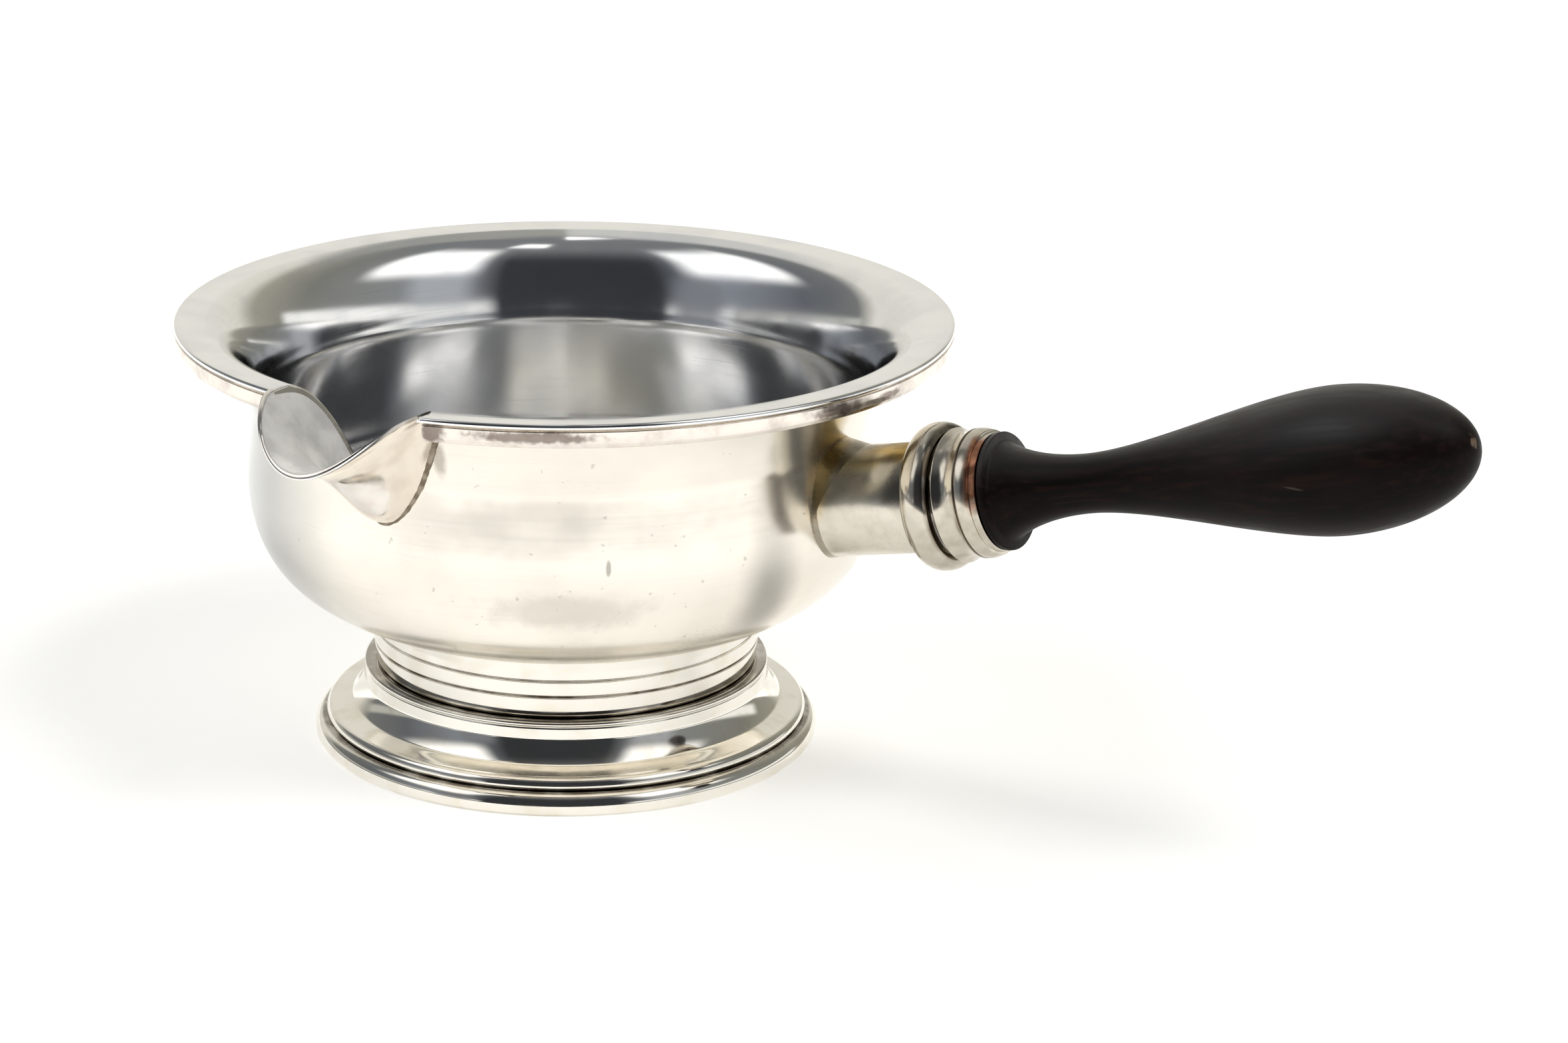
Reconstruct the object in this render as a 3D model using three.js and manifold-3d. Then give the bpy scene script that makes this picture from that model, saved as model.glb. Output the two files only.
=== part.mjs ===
// Gravy bowl on a moulded foot, with a pouring lip at the front and a turned wooden handle at the side.
// Millimetres, +Z up, +X along the handle, the lip towards -Y, standing on z = 0.
import * as THREE from 'three';
import { mergeVertices } from 'three/addons/utils/BufferGeometryUtils.js';
import Module from 'manifold-3d';

const wasm = await Module();
wasm.setup();

// Clearance between pieces that are soldered or pressed together.
const GAP = 0.3;

// Foot, from the table up.
const FOOT_RING_H = 3.65;
const FOOT_RING_R = 43;
const FOOT_RING_W = 4.4;
const FOOT_RING_WIDEST_H = 1.3;
const FOOT_H = 9.5;
const FOOT_R = 41;
const FOOT_GROOVE_DEPTH = 0.1;
const FOOT_SHOULDER_H = 1.95;
const FOOT_SHOULDER_IN = 1.1;
const FOOT_SHOULDER_WIDEST = 0.385;
const FOOT_NECK_R = 34.3;
const FOOT_BEAD_H = 1;
const FOOT_SHEET = 0.9;
const COLLAR_H = 10.15;
const COLLAR_R = 32.8;
const COLLAR_WALL = 3;
const COLLAR_COVE_H = 3.8;
const COLLAR_COVE_DEPTH = 0.6;
const COLLAR_BAND_H = 2.8;
const COLLAR_GROOVE = 0.35;

// Bowl: a flat seat, a full belly, a waist, and a flare that leans out gently and turns over at the rim.
const BOWL_H = 49.8;
const BOWL_SHEET = 1.1;
const SEAT_R = 33.4;
const BELLY_R = 53.4;
const BELLY_H = 23.7;
const BELLY_SPREAD = 10.6;
const BELLY_LIFT = 2.7;
const BELLY_ROUND = 16;
const WAIST_R = 52.3;
const WAIST_H = 34.2;
const RIM_R = 65;
const RIM_EDGE = 0.8;
const FLARE_LEAN = 0.23;
const FLARE_POWER = 3;

// Band soldered under the edge of the rim, open at the lip.
const BAND_H = 2.85;
const BAND_THICKNESS = 1.3;

// Pouring lip: its seam on the bowl starts at the drop and opens out to the rim. It sits a little
// more than a quarter turn from the handle.
const LIP_TURN = THREE.MathUtils.degToRad(-0.9);
const LIP_HALF_W = 14.3;
const LIP_FLARE_W = 2.8;
const LIP_SEAM_H = 22.2;
const LIP_REACH = 13.1;
const LIP_DIP = 8.9;
const LIP_BULGE = 0.14;
const LIP_SHEET = 0.9;
const LIP_SHEET_AT_DROP = 1.4;
const LIP_ROOT = 9;
const LIP_REACH_POWER = 0.58;
const LIP_DIP_POWER = 2;
const LIP_START = 0.004;
const CHANNEL_START = 0.06;

// Handle socket on the bowl, and the handle, which stands a little steeper than its socket.
const SOCKET_R = 9;
const SOCKET_WALL = 1.2;
const SOCKET_REACH = 20.6;
const SOCKET_MOUTH_H = 30.4;
const SOCKET_TILT = THREE.MathUtils.degToRad(12);
const SOCKET_FILLET = 1;
const SOCKET_RING_R = 12.05;
const SOCKET_RING_EDGE_R = 10.2;
const SOCKET_RING_W = 4.9;
const PLUG_W = 5;
const PLUG_DEPTH = 1;
const HANDLE_TILT = THREE.MathUtils.degToRad(14.25);
const FERRULE_R = 10.9;
const FERRULE_COVE_W = 4.1;
const FERRULE_COVE_DEPTH = 0.5;
const FERRULE_BEAD_R = 10.5;
const FERRULE_BEAD_W = 2.3;
const FERRULE_MOUTH_R = 9.6;
const FERRULE_MOUTH_W = 1;
const FERRULE_CUP_R = 8.2;
const FERRULE_CUP_DEPTH = 5;
const STUD_R = 2.4;
const STUD_IN_HANDLE = 24;
const WOOD_SHOULDER_R = 9.5;
const WOOD_SHOULDER_W = 0.9;
const WOOD_COVE_R = 8;
const WOOD_NECK_R = 4.75;
const WOOD_NECK_AT = 15.2;
const WOOD_GRIP_R = 11.55;
const WOOD_GRIP_AT = 58.2;
const WOOD_LENGTH = 80.7;

// Facets around the bowl, the foot and the handle's pieces, and across the lip.
const AROUND = 64;
const AROUND_FOOT = 48;
const AROUND_HANDLE = 28;
const LIP_STEPS = 16;

// Heights that follow from the stack, and the middle of the socket's mouth.
const footZ = FOOT_RING_H;
const collarZ = footZ + FOOT_H;
const bowlZ = collarZ + COLLAR_H;
const bellyZ = bowlZ + BELLY_H;
const waistZ = bowlZ + WAIST_H;
const rimZ = bowlZ + BOWL_H;
const mouthX = BELLY_R + SOCKET_REACH;
const mouthZ = bowlZ + SOCKET_MOUTH_H;

const METALS = {
  satin: { color: 0xd9d6cd, roughness: 0.32, metalness: 1 },
  polished: { color: 0xdcdad4, roughness: 0.1, metalness: 1 },
  brass: { color: 0xb98d4a, roughness: 0.4, metalness: 1 },
  steel: { color: 0x8d8f92, roughness: 0.45, metalness: 1 },
};
const EBONY = { color: 0x1d1512, roughness: 0.42, metalness: 0 };

// A profile of [r, z] pairs turned about Z: the lathe turns about Y, so its shape is laid over.
function turned(points, around) {
  const profile = points.map(([r, z]) => new THREE.Vector2(r, z));
  return new THREE.LatheGeometry(profile, around).rotateX(Math.PI / 2);
}

// n + 1 values of a function over 0 to 1.
function along(n, f) {
  return Array.from({ length: n + 1 }, (_, i) => f(i / n));
}

// Closes a profile that doesn't touch the axis.
function closed(points) {
  return [...points, points[0]];
}

// A profile moved sideways by d, to its left as it runs.
function offset(points, d) {
  return points.map((p, i) => {
    const a = points[Math.max(i - 1, 0)];
    const b = points[Math.min(i + 1, points.length - 1)];
    const length = Math.hypot(b[0] - a[0], b[1] - a[1]);
    return [p[0] - d * (b[1] - a[1]) / length, p[1] + d * (b[0] - a[0]) / length];
  });
}

function mix(a, b, t) {
  return a + (b - a) * t;
}

// Value of one coordinate of a profile where the other coordinate reaches a value.
function profileAt(profile, key, value) {
  const other = 1 - key;
  const i = Math.max(1, profile.findIndex((p) => p[key] >= value));
  const [a, b] = [profile[i - 1], profile[i]];
  return mix(a[other], b[other], (value - a[key]) / (b[key] - a[key]));
}

// Point at t on the cubic curve with four [x, y] controls.
function cubic(controls, t) {
  const s = 1 - t;
  const w = [s * s * s, 3 * s * s * t, 3 * s * t * t, t * t * t];
  return [0, 1].map((k) => controls.reduce((sum, c, i) => sum + w[i] * c[k], 0));
}

function toSolid(geometry) {
  const bare = geometry.clone();
  bare.deleteAttribute('normal');
  bare.deleteAttribute('uv');
  const merged = mergeVertices(bare, 1e-4);
  const vertProperties = new Float32Array(merged.attributes.position.array);
  const triVerts = new Uint32Array(merged.index.array);
  return new wasm.Manifold(new wasm.Mesh({ numProp: 3, vertProperties, triVerts }));
}

function toGeometry(solid) {
  const { vertProperties, triVerts } = solid.getMesh();
  const geometry = new THREE.BufferGeometry();
  geometry.setAttribute('position', new THREE.BufferAttribute(new Float32Array(vertProperties), 3));
  geometry.setIndex(new THREE.BufferAttribute(new Uint32Array(triVerts), 1));
  geometry.computeVertexNormals();
  return geometry;
}

function piece(name, geometry, look) {
  const mesh = new THREE.Mesh(geometry, new THREE.MeshStandardMaterial(look));
  mesh.name = name;
  return mesh;
}

// Bowl

// Outside of the bowl from its seat to the edge of the rim: the flare leans out and then turns almost flat.
function bowlOutside() {
  const belly = along(8, (t) => cubic([
    [SEAT_R, bowlZ],
    [SEAT_R + BELLY_SPREAD, bowlZ + BELLY_LIFT],
    [BELLY_R, bellyZ - BELLY_ROUND],
    [BELLY_R, bellyZ],
  ], t));
  const wall = along(3, (t) => [mix(BELLY_R, WAIST_R, t * t * (3 - 2 * t)), mix(bellyZ, waistZ, t)]);
  const flare = along(10, (s) => {
    const t = Math.sin(s * Math.PI / 2) ** (2 / FLARE_POWER);
    const round = 1 - Math.max(Math.cos(s * Math.PI / 2), 0) ** (2 / FLARE_POWER);
    return [mix(WAIST_R, RIM_R, mix(round, t, FLARE_LEAN)), mix(waistZ, rimZ - RIM_EDGE, t)];
  });
  return [...belly, ...wall.slice(1), ...flare.slice(1)];
}

const outside = bowlOutside();

// Outside radius of the bowl at a height on its wall or flare.
function outsideRadius(z) {
  return z >= rimZ - RIM_EDGE ? RIM_R : profileAt(outside, 1, z);
}

function bowlShell() {
  const inside = offset(outside, BOWL_SHEET).filter((p) => p[1] < rimZ - RIM_EDGE);
  const round = RIM_EDGE / 3;
  return turned([
    [0, bowlZ],
    ...outside,
    [RIM_R, rimZ - round],
    [RIM_R - round, rimZ],
    [RIM_R - RIM_EDGE, rimZ],
    ...inside.reverse(),
    [0, bowlZ + BOWL_SHEET],
  ], AROUND);
}

// Everything inside the bowl's outer surface, grown by the clearance: what sits on the outside
// of the bowl is cut back by it.
function bowlCore() {
  const grown = offset(outside, -GAP);
  const edge = RIM_R + GAP;
  return turned([[0, bowlZ - GAP], ...grown, [edge, rimZ - RIM_EDGE], [edge, rimZ + GAP], [0, rimZ + GAP]], AROUND);
}

// Pouring lip

// Keel of the lip in its middle plane, as [outward, z]: it leaves the wall at the drop, swells and
// levels off towards the tip.
const tipV = Math.sqrt(RIM_R ** 2 - LIP_HALF_W ** 2) + LIP_REACH;
const tipZ = rimZ - LIP_DIP;
const dropZ = rimZ - LIP_SEAM_H;
const dropV = outsideRadius(dropZ);
const keel = [
  [dropV, dropZ],
  [mix(dropV, tipV, 0.29), mix(dropZ, tipZ, 0.12)],
  [mix(dropV, tipV, 0.5), mix(dropZ, tipZ, 0.98)],
  [tipV, tipZ],
];

// One section of the lip from its left seam round the keel to its right seam, as [x, y, z] points.
// Height b runs from 0 at the drop to 1 at the free edge. The outward and upward parts follow
// powers of the cosine, so that the free edge dips late, and inset moves the section inwards.
function lipSection(b, inset, steps) {
  const z = dropZ + LIP_SEAM_H * b;
  const half = (LIP_HALF_W - LIP_FLARE_W) * Math.sqrt(b) + LIP_FLARE_W * b ** 3;
  const seamV = Math.sqrt(outsideRadius(z) ** 2 - half ** 2);
  const [keelV, keelZ] = cubic(keel, b);
  const [nextV, nextZ] = cubic(keel, b + 0.01);
  const slope = Math.hypot(nextV - keelV, nextZ - keelZ);
  const innerV = keelV - inset * (nextZ - keelZ) / slope;
  const innerZ = keelZ + inset * (nextV - keelV) / slope;
  const scale = (half - inset) / half;
  return along(steps, (t) => {
    const a = (t - 0.5) * Math.PI;
    const c = Math.max(Math.cos(a), 0);
    const across = half * scale * Math.sin(a) * (1 + LIP_BULGE * b * c * c);
    return [
      across,
      -mix(seamV, innerV, c ** (1 + LIP_REACH_POWER * b)),
      mix(z, innerZ, c ** (1 + LIP_DIP_POWER * b)),
    ];
  });
}

// A closed loft through sections that each run out along the lip and back inside the bowl.
function lipLoft(sections, root) {
  const rings = sections.map((section) => {
    const first = section[0];
    const last = section[section.length - 1];
    return [...section, [last[0], last[1] + root, last[2]], [first[0], first[1] + root, first[2]]];
  });
  const n = rings[0].length;
  const curve = n - 2;
  const index = [];
  for (let i = 0; i + 1 < rings.length; i += 1) {
    for (let j = 0; j < n; j += 1) {
      const k = (j + 1) % n;
      const [a, b, c, d] = [i * n + j, i * n + k, (i + 1) * n + k, (i + 1) * n + j];
      index.push(a, b, c, a, c, d);
    }
  }
  for (const [row, flip] of [[0, true], [rings.length - 1, false]]) {
    const at = (j) => row * n + (j % n);
    const strip = (a, b, c) => index.push(...(flip ? [a, c, b] : [a, b, c]));
    for (let j = 0; j < Math.floor((curve - 1) / 2); j += 1) {
      const [a, b, c, d] = [at(j), at(j + 1), at(curve - 2 - j), at(curve - 1 - j)];
      strip(a, b, d);
      if (b !== c) strip(b, c, d);
    }
    strip(at(0), at(curve - 1), at(curve));
    strip(at(0), at(curve), at(curve + 1));
  }
  const geometry = new THREE.BufferGeometry();
  geometry.setAttribute('position', new THREE.Float32BufferAttribute(rings.flat(2), 3));
  geometry.setIndex(index);
  return geometry;
}

function lipOutside() {
  const sections = along(11, (t) => lipSection(mix(LIP_START, 1, t), 0, LIP_STEPS));
  return toSolid(lipLoft(sections, LIP_ROOT).rotateZ(LIP_TURN));
}

// The channel inside the lip, run up past the free edge so that it is open above.
function lipChannel() {
  const sections = along(9, (t) => {
    const b = mix(CHANNEL_START, 1, t);
    return lipSection(b, mix(LIP_SHEET_AT_DROP, LIP_SHEET, b), LIP_STEPS);
  });
  const top = sections[sections.length - 1].map(([x, y, z]) => [x, y, z + LIP_SEAM_H]);
  return toSolid(lipLoft([...sections, top], LIP_ROOT).rotateZ(LIP_TURN));
}

// Rim band

// The band hangs under the flare: its outer face is upright and its top follows the sheet above.
function rimBand() {
  const top = rimZ - RIM_EDGE - GAP;
  const bottom = top - BAND_H;
  const inner = RIM_R - BAND_THICKNESS;
  const round = BAND_THICKNESS / 3;
  return turned(closed([
    [RIM_R - 2 * round, bottom],
    [RIM_R - round * 0.8, bottom + round * 0.4],
    [RIM_R - round * 0.2, bottom + round * 1.6],
    [RIM_R, bottom + BAND_H / 2],
    [RIM_R, top - round / 3],
    [RIM_R - round / 3, top],
    [inner, profileAt(offset(outside, -GAP), 0, inner)],
    [inner, bottom + round],
    [inner + round / 2, bottom + round / 4],
  ]), AROUND);
}

// Wedge that opens the band at the lip, a clearance wider than the lip on each side.
function bandOpening() {
  const far = RIM_R + LIP_REACH;
  const half = (LIP_HALF_W + GAP) * far / RIM_R;
  const wedge = new THREE.Shape([
    new THREE.Vector2(0, 0),
    new THREE.Vector2(-half, -far),
    new THREE.Vector2(half, -far),
  ]);
  const geometry = new THREE.ExtrudeGeometry(wedge, { depth: BOWL_H, bevelEnabled: false });
  return toSolid(geometry.translate(0, 0, bowlZ).rotateZ(LIP_TURN));
}

// Foot

// Half-round wire under the foot, flat where it stands.
function footRing() {
  const back = FOOT_RING_R - FOOT_RING_W;
  const rise = FOOT_RING_H - FOOT_RING_WIDEST_H;
  const front = along(7, (t) => {
    const a = mix(-Math.PI / 4, Math.PI / 2, t);
    const lift = a < 0 ? FOOT_RING_WIDEST_H * Math.SQRT2 : rise;
    return [mix(FOOT_R, FOOT_RING_R, Math.cos(a)), FOOT_RING_WIDEST_H + lift * Math.sin(a)];
  });
  return turned(closed([[back, 0], ...front, [back, FOOT_RING_H]]), AROUND_FOOT);
}

// Foot from the groove to its top bead: a round edge, a low ledge, a steep hollow sweep and a bead.
function footOutside() {
  const shoulderZ = footZ + FOOT_SHOULDER_H;
  const shoulderR = FOOT_R - FOOT_SHOULDER_IN;
  const beadZ = collarZ - FOOT_BEAD_H;
  const middle = footZ + FOOT_SHOULDER_H * FOOT_SHOULDER_WIDEST;
  const shoulder = along(4, (t) => {
    const a = t * Math.PI / 2;
    return [mix(shoulderR, FOOT_R, Math.cos(a)), mix(middle, shoulderZ, Math.sin(a))];
  });
  const sweep = along(10, (t) => cubic([
    [shoulderR, shoulderZ],
    [mix(FOOT_NECK_R, shoulderR, 0.26), mix(shoulderZ, beadZ, 0.04)],
    [mix(FOOT_NECK_R, shoulderR, 0.14), mix(shoulderZ, beadZ, 0.12)],
    [FOOT_NECK_R, beadZ],
  ], t));
  const bead = along(3, (t) => {
    const a = t * Math.PI / 2;
    return [FOOT_NECK_R - FOOT_BEAD_H * (1 - Math.cos(a)), collarZ - FOOT_BEAD_H * (1 - Math.sin(a))];
  });
  return [[FOOT_R - FOOT_GROOVE_DEPTH, footZ], ...shoulder, ...sweep.slice(1), ...bead.slice(1)];
}

function foot() {
  const skin = footOutside();
  const inner = offset(skin, FOOT_SHEET).filter((p) => p[1] > footZ && p[1] < collarZ - FOOT_SHEET);
  const seat = COLLAR_R - COLLAR_WALL;
  return turned(closed([
    [FOOT_R - FOOT_GROOVE_DEPTH - FOOT_SHEET, footZ],
    ...skin,
    [seat, collarZ],
    [seat, collarZ - FOOT_SHEET],
    ...inner.reverse(),
  ]), AROUND_FOOT);
}

// Collar between foot and bowl: a cove, a band between two grooves and a plain neck.
function footCollar() {
  const coveTop = collarZ + COLLAR_COVE_H;
  const bandTop = coveTop + COLLAR_BAND_H;
  const inner = COLLAR_R - COLLAR_WALL;
  const cove = along(4, (t) => [
    COLLAR_R - COLLAR_COVE_DEPTH * Math.cos(t * Math.PI / 2),
    mix(collarZ, coveTop - COLLAR_GROOVE, t),
  ]);
  return turned(closed([
    [inner, collarZ],
    ...cove,
    [COLLAR_R - COLLAR_GROOVE, coveTop],
    [COLLAR_R, coveTop + COLLAR_GROOVE],
    [COLLAR_R, bandTop - COLLAR_GROOVE],
    [COLLAR_R - COLLAR_GROOVE, bandTop],
    [COLLAR_R - COLLAR_GROOVE / 2, bandTop + COLLAR_GROOVE],
    [COLLAR_R, bowlZ],
    [inner, bowlZ],
  ]), AROUND_FOOT);
}

// Handle: each piece is turned about +Z of its own group, from the middle of the socket's mouth

// Profile of [r, distance from the socket's mouth].
function turnedForHandle(points) {
  return turned(points, AROUND_HANDLE);
}

// Group whose +Z runs out of the socket's mouth at a tilt above the table.
function handleGroup(tilt) {
  const group = new THREE.Group();
  group.position.set(mouthX, 0, mouthZ);
  group.rotation.y = Math.PI / 2 - tilt;
  group.updateMatrix();
  return group;
}

// Tube soldered to the bowl's wall, with a fillet of solder at its root.
function socketTube() {
  const inner = SOCKET_R - SOCKET_WALL;
  const wall = -SOCKET_REACH / Math.cos(SOCKET_TILT);
  const root = wall - SOCKET_R;
  return turnedForHandle(closed([
    [inner, root],
    [SOCKET_R + SOCKET_FILLET, root],
    [SOCKET_R + SOCKET_FILLET, wall],
    [SOCKET_R + SOCKET_FILLET * 0.3, wall + SOCKET_FILLET * 0.6],
    [SOCKET_R, wall + SOCKET_FILLET * 1.8],
    [SOCKET_R, 0],
    [inner, 0],
  ]));
}

function socketRing() {
  const half = SOCKET_RING_W / 2;
  const seat = SOCKET_R + GAP;
  return turnedForHandle(closed([
    [seat, -SOCKET_RING_W],
    ...along(8, (t) => {
      const a = t * Math.PI;
      return [mix(SOCKET_RING_EDGE_R, SOCKET_RING_R, Math.sin(a) ** 0.8), -half - half * Math.cos(a)];
    }),
    [seat, 0],
  ]));
}

function socketPlug() {
  const bore = STUD_R + 2 * GAP;
  const rim = SOCKET_R - SOCKET_WALL - GAP;
  const back = -PLUG_W - PLUG_DEPTH;
  return turnedForHandle(closed([
    [bore, back],
    [rim, back],
    [rim, -PLUG_DEPTH],
    [bore, -PLUG_DEPTH],
  ]));
}

// The ferrule stands off the socket's ring by as much as its steeper tilt needs.
const ferruleS = GAP + FERRULE_R * Math.tan(HANDLE_TILT - SOCKET_TILT);
const beadS = ferruleS + FERRULE_COVE_W;
const ferruleMouthS = beadS + FERRULE_BEAD_W;
const ferruleEndS = ferruleMouthS + FERRULE_MOUTH_W;
const woodS = ferruleEndS + GAP;
const cupS = ferruleEndS - FERRULE_CUP_DEPTH;

// Ferrule: a cove and a bead, then a bared mouth that cups the wooden tenon.
function ferrule() {
  const bore = STUD_R + GAP;
  const edge = FERRULE_COVE_DEPTH / 2;
  const cove = along(4, (t) => [
    mix(FERRULE_R, FERRULE_BEAD_R, t) - FERRULE_COVE_DEPTH * Math.sin(t * Math.PI),
    mix(ferruleS + edge, beadS - edge, t),
  ]);
  const bead = along(4, (t) => [
    FERRULE_BEAD_R - FERRULE_COVE_DEPTH * t * t,
    mix(beadS + edge, ferruleMouthS, t),
  ]);
  return turnedForHandle(closed([
    [bore, ferruleS],
    [FERRULE_R - edge, ferruleS],
    ...cove,
    [FERRULE_BEAD_R - edge, beadS],
    ...bead,
    [FERRULE_MOUTH_R, ferruleMouthS],
    [FERRULE_MOUTH_R, ferruleEndS],
    [FERRULE_CUP_R, ferruleEndS],
    [FERRULE_CUP_R, cupS],
    [bore, cupS],
  ]));
}

function stud() {
  const start = -PLUG_W - PLUG_DEPTH - 1;
  const end = woodS + STUD_IN_HANDLE;
  const chamfer = STUD_R / 5;
  return turnedForHandle([
    [0, start],
    [STUD_R - chamfer, start],
    [STUD_R, start + chamfer],
    [STUD_R, end - chamfer],
    [STUD_R - chamfer, end],
    [0, end],
  ]);
}

// Turned handle: a tenon in the ferrule, a shoulder, a cove down to the neck, and a grip that swells
// and ends in half an ellipse. The bore for the stud is open at the tenon.
function handle() {
  const bore = STUD_R + GAP;
  const boreEnd = woodS + STUD_IN_HANDLE + 1;
  const tenonR = FERRULE_CUP_R - GAP;
  const coveS = woodS + WOOD_SHOULDER_W;
  const neckS = woodS + WOOD_NECK_AT;
  const gripS = woodS + WOOD_GRIP_AT;
  const tip = woodS + WOOD_LENGTH;
  const cove = along(6, (t) => cubic([
    [WOOD_COVE_R, coveS + GAP],
    [mix(WOOD_NECK_R, WOOD_COVE_R, 0.5), mix(coveS, neckS, 0.18)],
    [WOOD_NECK_R, mix(coveS, neckS, 0.53)],
    [WOOD_NECK_R, neckS],
  ], t));
  const swell = along(9, (t) => cubic([
    [WOOD_NECK_R, neckS],
    [WOOD_NECK_R, mix(neckS, gripS, 0.27)],
    [WOOD_GRIP_R, mix(neckS, gripS, 0.73)],
    [WOOD_GRIP_R, gripS],
  ], t));
  const end = along(7, (t) => {
    const a = t * Math.PI / 2;
    return [WOOD_GRIP_R * Math.cos(a), mix(gripS, tip, Math.sin(a))];
  });
  return turnedForHandle([
    [0, boreEnd],
    [bore, boreEnd],
    [bore, cupS + GAP],
    [tenonR, cupS + GAP],
    [tenonR, woodS],
    [WOOD_SHOULDER_R - GAP, woodS],
    [WOOD_SHOULDER_R, woodS + GAP],
    [WOOD_SHOULDER_R, coveS - GAP],
    [WOOD_SHOULDER_R - GAP, coveS],
    ...cove,
    ...swell.slice(1),
    ...end.slice(1, -1),
    [0, tip],
  ]);
}

// Assembly

const socketGroup = handleGroup(SOCKET_TILT);
const gripGroup = handleGroup(HANDLE_TILT);
const core = bowlCore();
const coreAtSocket = core.clone().applyMatrix4(socketGroup.matrix.clone().invert());
const channel = lipChannel();
const bowl = toSolid(bowlShell()).subtract(channel);
const lip = lipOutside().subtract(channel).subtract(toSolid(core));
const band = toSolid(rimBand()).subtract(bandOpening());
const socket = toSolid(socketTube()).subtract(toSolid(coreAtSocket));

socketGroup.add(
  piece('handle_socket', toGeometry(socket), METALS.satin),
  piece('socket_ring', socketRing(), METALS.polished),
  piece('socket_plug', socketPlug(), METALS.brass),
);
gripGroup.add(
  piece('ferrule', ferrule(), METALS.polished),
  piece('handle_stud', stud(), METALS.steel),
  piece('handle', handle(), EBONY),
);

const pieces = new THREE.Group();
pieces.add(
  piece('bowl', toGeometry(bowl), METALS.satin),
  piece('rim_band', toGeometry(band), METALS.satin),
  piece('pouring_lip', toGeometry(lip), METALS.polished),
  piece('foot_collar', footCollar(), METALS.polished),
  piece('foot', foot(), METALS.polished),
  piece('foot_ring', footRing(), METALS.polished),
  socketGroup,
  gripGroup,
);

// The origin lies under the middle of the whole object, on the table.
const gravyBowl = new THREE.Group();
gravyBowl.add(pieces);
gravyBowl.updateMatrixWorld(true);
const box = new THREE.Box3().setFromObject(gravyBowl, true);
pieces.position.set(-(box.min.x + box.max.x) / 2, -(box.min.y + box.max.y) / 2, 0);

export default gravyBowl;
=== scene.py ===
"""Gravy bowl on a moulded foot: bowl, lip, foot and handle pieces worked out with numpy, in millimetres."""
import math

import bpy
import numpy as np
from mathutils import Matrix, Vector


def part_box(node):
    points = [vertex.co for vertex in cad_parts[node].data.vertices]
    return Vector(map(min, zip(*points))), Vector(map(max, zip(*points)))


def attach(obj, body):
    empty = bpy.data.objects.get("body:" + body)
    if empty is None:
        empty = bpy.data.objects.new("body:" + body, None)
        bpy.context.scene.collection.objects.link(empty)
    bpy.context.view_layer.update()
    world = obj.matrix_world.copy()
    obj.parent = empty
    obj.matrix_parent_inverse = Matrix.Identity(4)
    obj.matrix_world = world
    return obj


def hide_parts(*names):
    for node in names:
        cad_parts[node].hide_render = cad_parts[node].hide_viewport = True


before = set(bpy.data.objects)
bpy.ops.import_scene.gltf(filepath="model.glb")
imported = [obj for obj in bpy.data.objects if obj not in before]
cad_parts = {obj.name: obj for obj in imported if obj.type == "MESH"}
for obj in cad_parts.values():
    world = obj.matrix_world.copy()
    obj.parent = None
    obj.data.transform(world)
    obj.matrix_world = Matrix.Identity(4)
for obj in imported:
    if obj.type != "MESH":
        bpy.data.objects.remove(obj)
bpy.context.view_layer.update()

MM = 0.001

# Bowl's upright axis on the table, from the middle of the foot ring
ring_low, ring_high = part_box("foot_ring")
AXIS = np.array([(ring_low[0] + ring_high[0]) / 2, (ring_low[1] + ring_high[1]) / 2, 0.0]) / MM

# Clearance between soldered pieces
GAP = 0.3

# Foot, from the table up
RING_H = 3.65
RING_R = 43.0
RING_W = 4.4
RING_WIDEST_H = 1.3
FOOT_H = 9.5
FOOT_R = 41.0
SHOULDER_H = 2.07
SHOULDER_IN = 1.35
NECK_R = 34.3
BEAD_H = 1.0
FOOT_SHEET = 0.9
COLLAR_H = 10.15
COLLAR_R = 32.8
COLLAR_WALL = 3.0
COLLAR_COVE_H = 3.8
COLLAR_BAND_H = 2.8

# Bowl
BOWL_H = 49.8
SHEET = 1.1
SEAT_R = 33.4
BELLY_R = 53.4
BELLY_H = 23.7
BELLY_SPREAD = 10.6
BELLY_LIFT = 2.7
BELLY_ROUND = 16.0
WAIST_R = 52.3
WAIST_H = 34.2
WALL_LOW_H = 17.7
WALL_LOW_R = 51.65
WALL_HIGH_H = 33.7
WALL_HIGH_R = 51.22
WALL_BLEND = 3.0
RIM_R = 65.0
RIM_EDGE = 0.8
FLARE_LEAN = 0.23
FLARE_POWER = 3
BAND_H = 2.85
BAND_THICKNESS = 1.3

# Pouring lip, a little more than a quarter turn from the handle
LIP_TURN = math.radians(-0.9)
LIP_HALF_W = 14.3
LIP_FLARE_W = 2.8
LIP_SEAM_H = 22.2
LIP_REACH = 13.1
LIP_DIP = 8.9
LIP_BULGE = 0.14
LIP_SHEET = 0.9
LIP_SHEET_AT_DROP = 1.4
LIP_SIDE_POWER = 0.58
LIP_DIP_POWER = 2
LIP_OUTER_FROM = 0.004
LIP_INNER_FROM = 0.06
LIP_EDGE_ROUND = 0.18

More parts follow.
